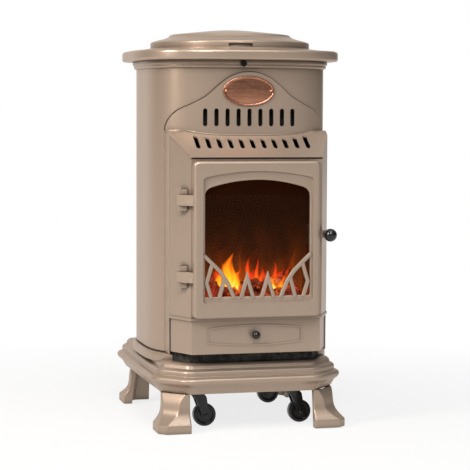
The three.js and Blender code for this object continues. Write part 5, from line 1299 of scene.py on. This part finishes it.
def lump(centre, size, seed, tilt, rough=0.15):
    """A coal: a ball made squarish, its surface moved by waves, then stretched to size and tilted."""
    up, turn = np.linspace(0.001, math.pi - 0.001, 30)[:, None], around(40)
    ball = np.stack([np.sin(up) * np.cos(turn), np.sin(up) * np.sin(turn), np.cos(up) + 0 * turn], -1)
    square = ball / (np.abs(ball) ** 3).sum(-1, keepdims=True) ** (1 / 3)
    x, y, z = np.moveaxis(square * (1 + rough * waves(ball * 1.6, seed))[..., None] * size, -1, 0)
    c, s = math.cos(tilt), math.sin(tilt)
    return grid(np.stack([c * x + s * z, y, -s * x + c * z], -1) + centre, loop_columns=True)


bed = [prism(rounded([(-93, -192.5), (93, -192.5), (93, -151.5), (-93, -151.5)], 3, 4), "z", TRAY_LOW + 2.6,
             TRAY_TOP - 1)]
draw = np.random.default_rng(11)
for row, (count, y, z) in enumerate(COAL_ROWS):
    for column in range(count):
        x = (column - (count - 1) / 2) * 150 / (count - 1) + draw.uniform(-4, 4)
        size = np.array([draw.uniform(13, 18), draw.uniform(9.5, 12), draw.uniform(11, 15)])
        centre = (x, y + draw.uniform(-1.5, 1.5), TRAY_TOP + z + draw.uniform(-2, 3))
        bed.append(lump(centre, size, 30 + row * 10 + column, draw.uniform(-0.5, 0.5)))
build("coal_lumps", bed, COALS, ["coal_bed"], crisp=180)
# Painted shade: a dark baffle in the drum. It really blocks light, and its dark finish is painted shade seen
# through the slots.
shield = rounded([(-124, -104), (-110, -129), (110, -129), (124, -104), (122, -104), (109, -126.5),
                  (-109, -126.5), (-122, -104)], [0.5, 4, 4, 0.5, 0.5, 2, 2, 0.5], 6)
build("dark_light_baffle", [prism(shield, "z", LINER_TOP - 12, DRUM_TOP - 6)], DARK_PAINTED_SHADE, crisp=40)

# %% Flames
def tongue(x, y, z, height, width, bend, seed):
    """A flame: rings round a wavering spine, widest a third of the way up, closing to a point."""
    t, turn = np.linspace(0, 1, 28)[:, None], around(20)
    swell = width / 2 * (np.maximum(np.sin(math.pi * t**0.62), 0) ** 0.85 * (1 - 0.35 * t) + 0.004)
    sway = bend * t**1.6 + width * 0.22 * np.sin(6.5 * t + seed) * t
    points = np.stack([x + sway + swell * np.cos(turn) * (1 + 0.15 * np.sin(9 * t + 2 * seed)),
                       y + 0.4 * swell * np.sin(turn), TRAY_TOP + 4 + z + height * t + 0 * turn], -1)
    across = np.broadcast_to(np.abs(np.cos(turn)), points.shape[:2])
    return *capped(points), np.broadcast_to(t, across.shape).ravel(), across.ravel()


def fire(name, finish, tongues):
    """Several tongues in one piece, with their 'along' and 'across' kept as point attributes."""
    mesh = bpy.data.meshes.new(name)
    points, cells, along, across = zip(*(tongue(*t) for t in tongues))
    start = np.cumsum([0, *map(len, points)])
    faces = [[i + first for i in cell] for first, own in zip(start.tolist(), cells) for cell in own]
    verts = (np.vstack([p.reshape(-1, 3) for p in points]) + (0, SHIFT, 0)) * MM
    mesh.from_pydata(verts.tolist(), [], faces)
    for key, values in (("along", along), ("across", across)):
        kept = mesh.attributes.new(key, "FLOAT", "POINT").data
        kept.foreach_set("value", np.concatenate(values).astype(np.float32))
    finished(name, mesh, finish, crisp=180)
    print(f"{name}: {len(tongues)} tongues")


# Each tongue: x, y, height over the bed, how tall, how wide, how far it leans, and its own wave.
fire("smoky_glow", SMOKY_FLAME, [
    (-42, -150, -4, 104, 90, 6, 0.3), (4, -148, -2, 92, 84, -4, 1.9), (56, -150, -4, 84, 96, 6, 2.7),
    (-18, -154, 26, 76, 14, 4, 0.9), (88, -154, 30, 62, 18, 4, 2.2), (-72, -152, -4, 74, 44, 4, 1.2),
    (30, -151, 0, 66, 60, -8, 3.3), (-16, -151, 0, 72, 70, 8, 4.1)])
fire("red_tongues", RED_FLAME, [
    (-4, -166, 14, 62, 13, -1, 1.4), (13, -165, 10, 62, 14, 0, 2.6), (6, -168, 4, 44, 30, -4, 0.9),
    (40, -168, 12, 30, 30, -12, 0.2), (58, -164, 4, 44, 40, 4, 1.1), (70, -166, 2, 54, 22, 4, 2.0),
    (-58, -165, 4, 52, 32, -6, 0.4), (-28, -165, 4, 46, 28, 6, 1.7), (18, -166, 4, 50, 20, 6, 3.6),
    (50, -166, 6, 56, 18, -4, 2.9)])
fire("yellow_tongues", HOT_FLAME, [
    (-44, -172, 2, 80, 36, 3, 1.0), (-58, -174, 2, 50, 26, -9, 2.2), (-32, -175, 2, 46, 28, 9, 0.4),
    (-42, -178, 0, 40, 30, 0, 2.9), (-50, -176, 2, 60, 20, -4, 4.4), (-38, -176, 2, 62, 20, 4, 5.1),
    (58, -178, -8, 44, 24, 3, 1.7), (44, -176, 8, 24, 18, -10, 3.1), (66, -174, -2, 38, 22, 6, 0.7)])

# %% [markdown]
# ## Controls and gas
#
# Under the lid lies a black panel with the control knob and the piezo button. Below it, out of sight,
# are the valve, the igniter and the pipe to the burner. The bottle, its regulator and the hose stand
# behind, and show when the rear door is open. The hose goes from one fitting to another inside the
# cabinet, so it is part of the object and not a free cord.

# %% Controls
for node, finish, edge, looks in (
        ("control_panel", FORK_BLACK, 0.3, {}), ("gas_valve", BRASS, 0.7, {}),
        ("control_knob", WHEEL_BLACK, 0.6, {"body": "control_knob", "slot": "black_plastic"}),
        ("igniter_body", FORK_BLACK, 0.5, {}), ("igniter_button", PHENOLIC, 0.6, {"body": "igniter_button"}),
        ("lid_hinge", CAST_ENAMEL, 0.5, {}), ("lid_hinge_pin", ZINC, 0.4, {}), ("base_plate", ZINC, 0.5, {}),
        ("collar_screw", PHENOLIC, 0.8, {}), ("regulator", ZINC, 1.2, {}),
        ("regulator_tap", FORK_BLACK, 1.6, {"body": "regulator_tap"})):
    softened(node, finish, edge, **looks)

# %% Bottle, hose and pipe
BOTTLE_LOW, BOTTLE_TOP = height_of("gas_bottle")
BOTTLE_Y, BOTTLE_R, NECK, TALL = 30.0, 128.0, 18.0, BOTTLE_TOP - BOTTLE_LOW
wall = eased([(60, 6), (100, 2), (106, 0), (114, 0), (118, 4), (120, 10), (124, 17), (126.6, 26),
              (BOTTLE_R, 42), (BOTTLE_R, 120), (BOTTLE_R, TALL - 120), (BOTTLE_R - 0.6, TALL - 92),
              (120, TALL - 68), (108, TALL - 54), (92, TALL - 42), (76, TALL - 35), (56, TALL - 29),
              (34, TALL - 25.5), (20, TALL - 23.5), (NECK, TALL - 20), (NECK, TALL - 2), (NECK - 1.5, TALL)])
bottle = [(r, BOTTLE_LOW + z) for r, z in [(0.01, 6), *wall, (0.01, TALL)]]
build("bottle_drawn", [lathe(bottle, 96, (0, BOTTLE_Y))], BOTTLE_BLUE, ["gas_bottle"], crisp=50)

CONTROLS_Y, KNOB_AT, FITTING, PIPE_X, LINER_BACK, TRAY_REAR = -62.0, -42.0, 31.3, 60.0, -129.2, -137.2
HOSE_R, PIPE_R = 6.0, 4.0
outlet, port, burner = height_of("regulator")[0] + 14, height_of("gas_valve")[1] - 20, PANEL_TOP + 28.3
start, end = 46.3, KNOB_AT + FITTING
hose = [(start, BOTTLE_Y, outlet), (start + 16, BOTTLE_Y, outlet), (start + 40, BOTTLE_Y - 8, outlet + 14),
        (start + 44, CONTROLS_Y + 60, outlet + 46), (start + 26, CONTROLS_Y + 34, port - 14),
        (end + 32, CONTROLS_Y + 16, port - 2), (end + 14, CONTROLS_Y, port), (end, CONTROLS_Y, port)]
build("gas_hose_tube", [tube(hose, HOSE_R)], HOSE_RUBBER, ["gas_hose"], crisp=60)
pipe_y, liner_top = CONTROLS_Y + FITTING, burner + 258
pipe = [(KNOB_AT - 10, pipe_y, port), (KNOB_AT - 10, pipe_y + 8, port),
        (KNOB_AT - 14, pipe_y + 10, port - 24), (KNOB_AT - 2, CONTROLS_Y - 20, BOTTLE_TOP + 10),
        (PIPE_X - 10, LINER_BACK + 9, liner_top - 10), (PIPE_X, LINER_BACK + 8, liner_top - 60),
        (PIPE_X, LINER_BACK + 8, burner + 40), (PIPE_X, LINER_BACK + 7, burner + 8),
        (PIPE_X, LINER_BACK + 1, burner), (PIPE_X, TRAY_REAR - 6, burner)]
build("gas_pipe_tube", [tube(pipe, PIPE_R)], BRASS, ["gas_pipe"], crisp=60)

# %% [markdown]
# ## Rear door
#
# The back opens for the bottle. The door is cut from the same rolled sheet as the drum, with four air
# slots, two knuckles on its right edge and a knob on its left. Rows of points bend round the slots'
# ends as they did on the canopy.

# %% Rear door
REAR_X, DOOR_SLOT_HALF, SLOT_RISE = 138.0, 60.0, 4.0
PIN_X = REAR_X + 1.0
rear_low, rear_high = DRUM_LOW + 14.0, DRUM_LOW + 534.0
end_x = DOOR_SLOT_HALF - SLOT_RISE + SLOT_RISE * np.sin(np.linspace(0, math.pi / 2, 7))
x = np.unique(np.concatenate([np.linspace(-REAR_X, REAR_X, 71), end_x, -end_x]).round(6))
half = np.sqrt(SLOT_RISE**2 - np.clip(np.abs(x) - (DOOR_SLOT_HALF - SLOT_RISE), 0, SLOT_RISE) ** 2)
rows = [np.full_like(x, rear_low)]
for slot_z in (rear_low + 60, rear_low + 84, rear_high - 44, rear_high - 20):
    rows += [slot_z - half, slot_z + half]
z = np.array([*rows, np.full_like(x, rear_high)])
keep = np.ones((len(z) - 1, len(x) - 1), bool)
keep[1:8:2] = (np.abs(x[1:] + x[:-1]) / 2 > DOOR_SLOT_HALF)[None, :]


def rear_depth(x):
    """y of the drum's back at x."""
    return float(drum_depth(x, DRUM_REAR))


pin_y = rear_depth(PIN_X) + 6.0
tab = [(PIN_X, pin_y - 2), (PIN_X, pin_y + 3), (PIN_X - 16, rear_depth(PIN_X - 16) + 1),
       (PIN_X - 16, rear_depth(PIN_X - 16) - 0.5), (PIN_X - 6, rear_depth(PIN_X - 6) - 0.5)]
tabs = []
for low, high in ((rear_low + 56, rear_low + 84), (rear_high - 84, rear_high - 56)):
    tabs += [prism(tab, "z", low, high), knuckle(low, high, 5.0, 2.8, PIN_X, pin_y, 32)]
# Painted shade: the rear door's inward faces are dark.
paint_shade_inside(build("rear_door_panel", [rolled_sheet(x, z, (0, -SHEET), REAR_ARC, keep), *tabs], SHEET_ENAMEL,
            ["rear_door"], body="rear_door"), DARK_PAINTED_SHADE)
for node in ("rear_hinge_lower", "rear_hinge_upper"):
    softened(node, ZINC, 0.4)
knob_x, knob_z = 30 - REAR_X, (rear_low + rear_high) / 2
knob = [(0.01, 2), *eased([(6, 2), (6, 7), (7, 8), (10.4, 8.6), (11, 10), (11, 14.5), (10.2, 16.4), (7, 17)]),
        (0.01, 17)]
turned = lathe([(r, rear_depth(knob_x) + y) for r, y in knob], 48, (knob_x, knob_z), "y")
build("rear_door_knob_turned", [turned], PHENOLIC, ["rear_door_knob"], body="rear_door", crisp=50)
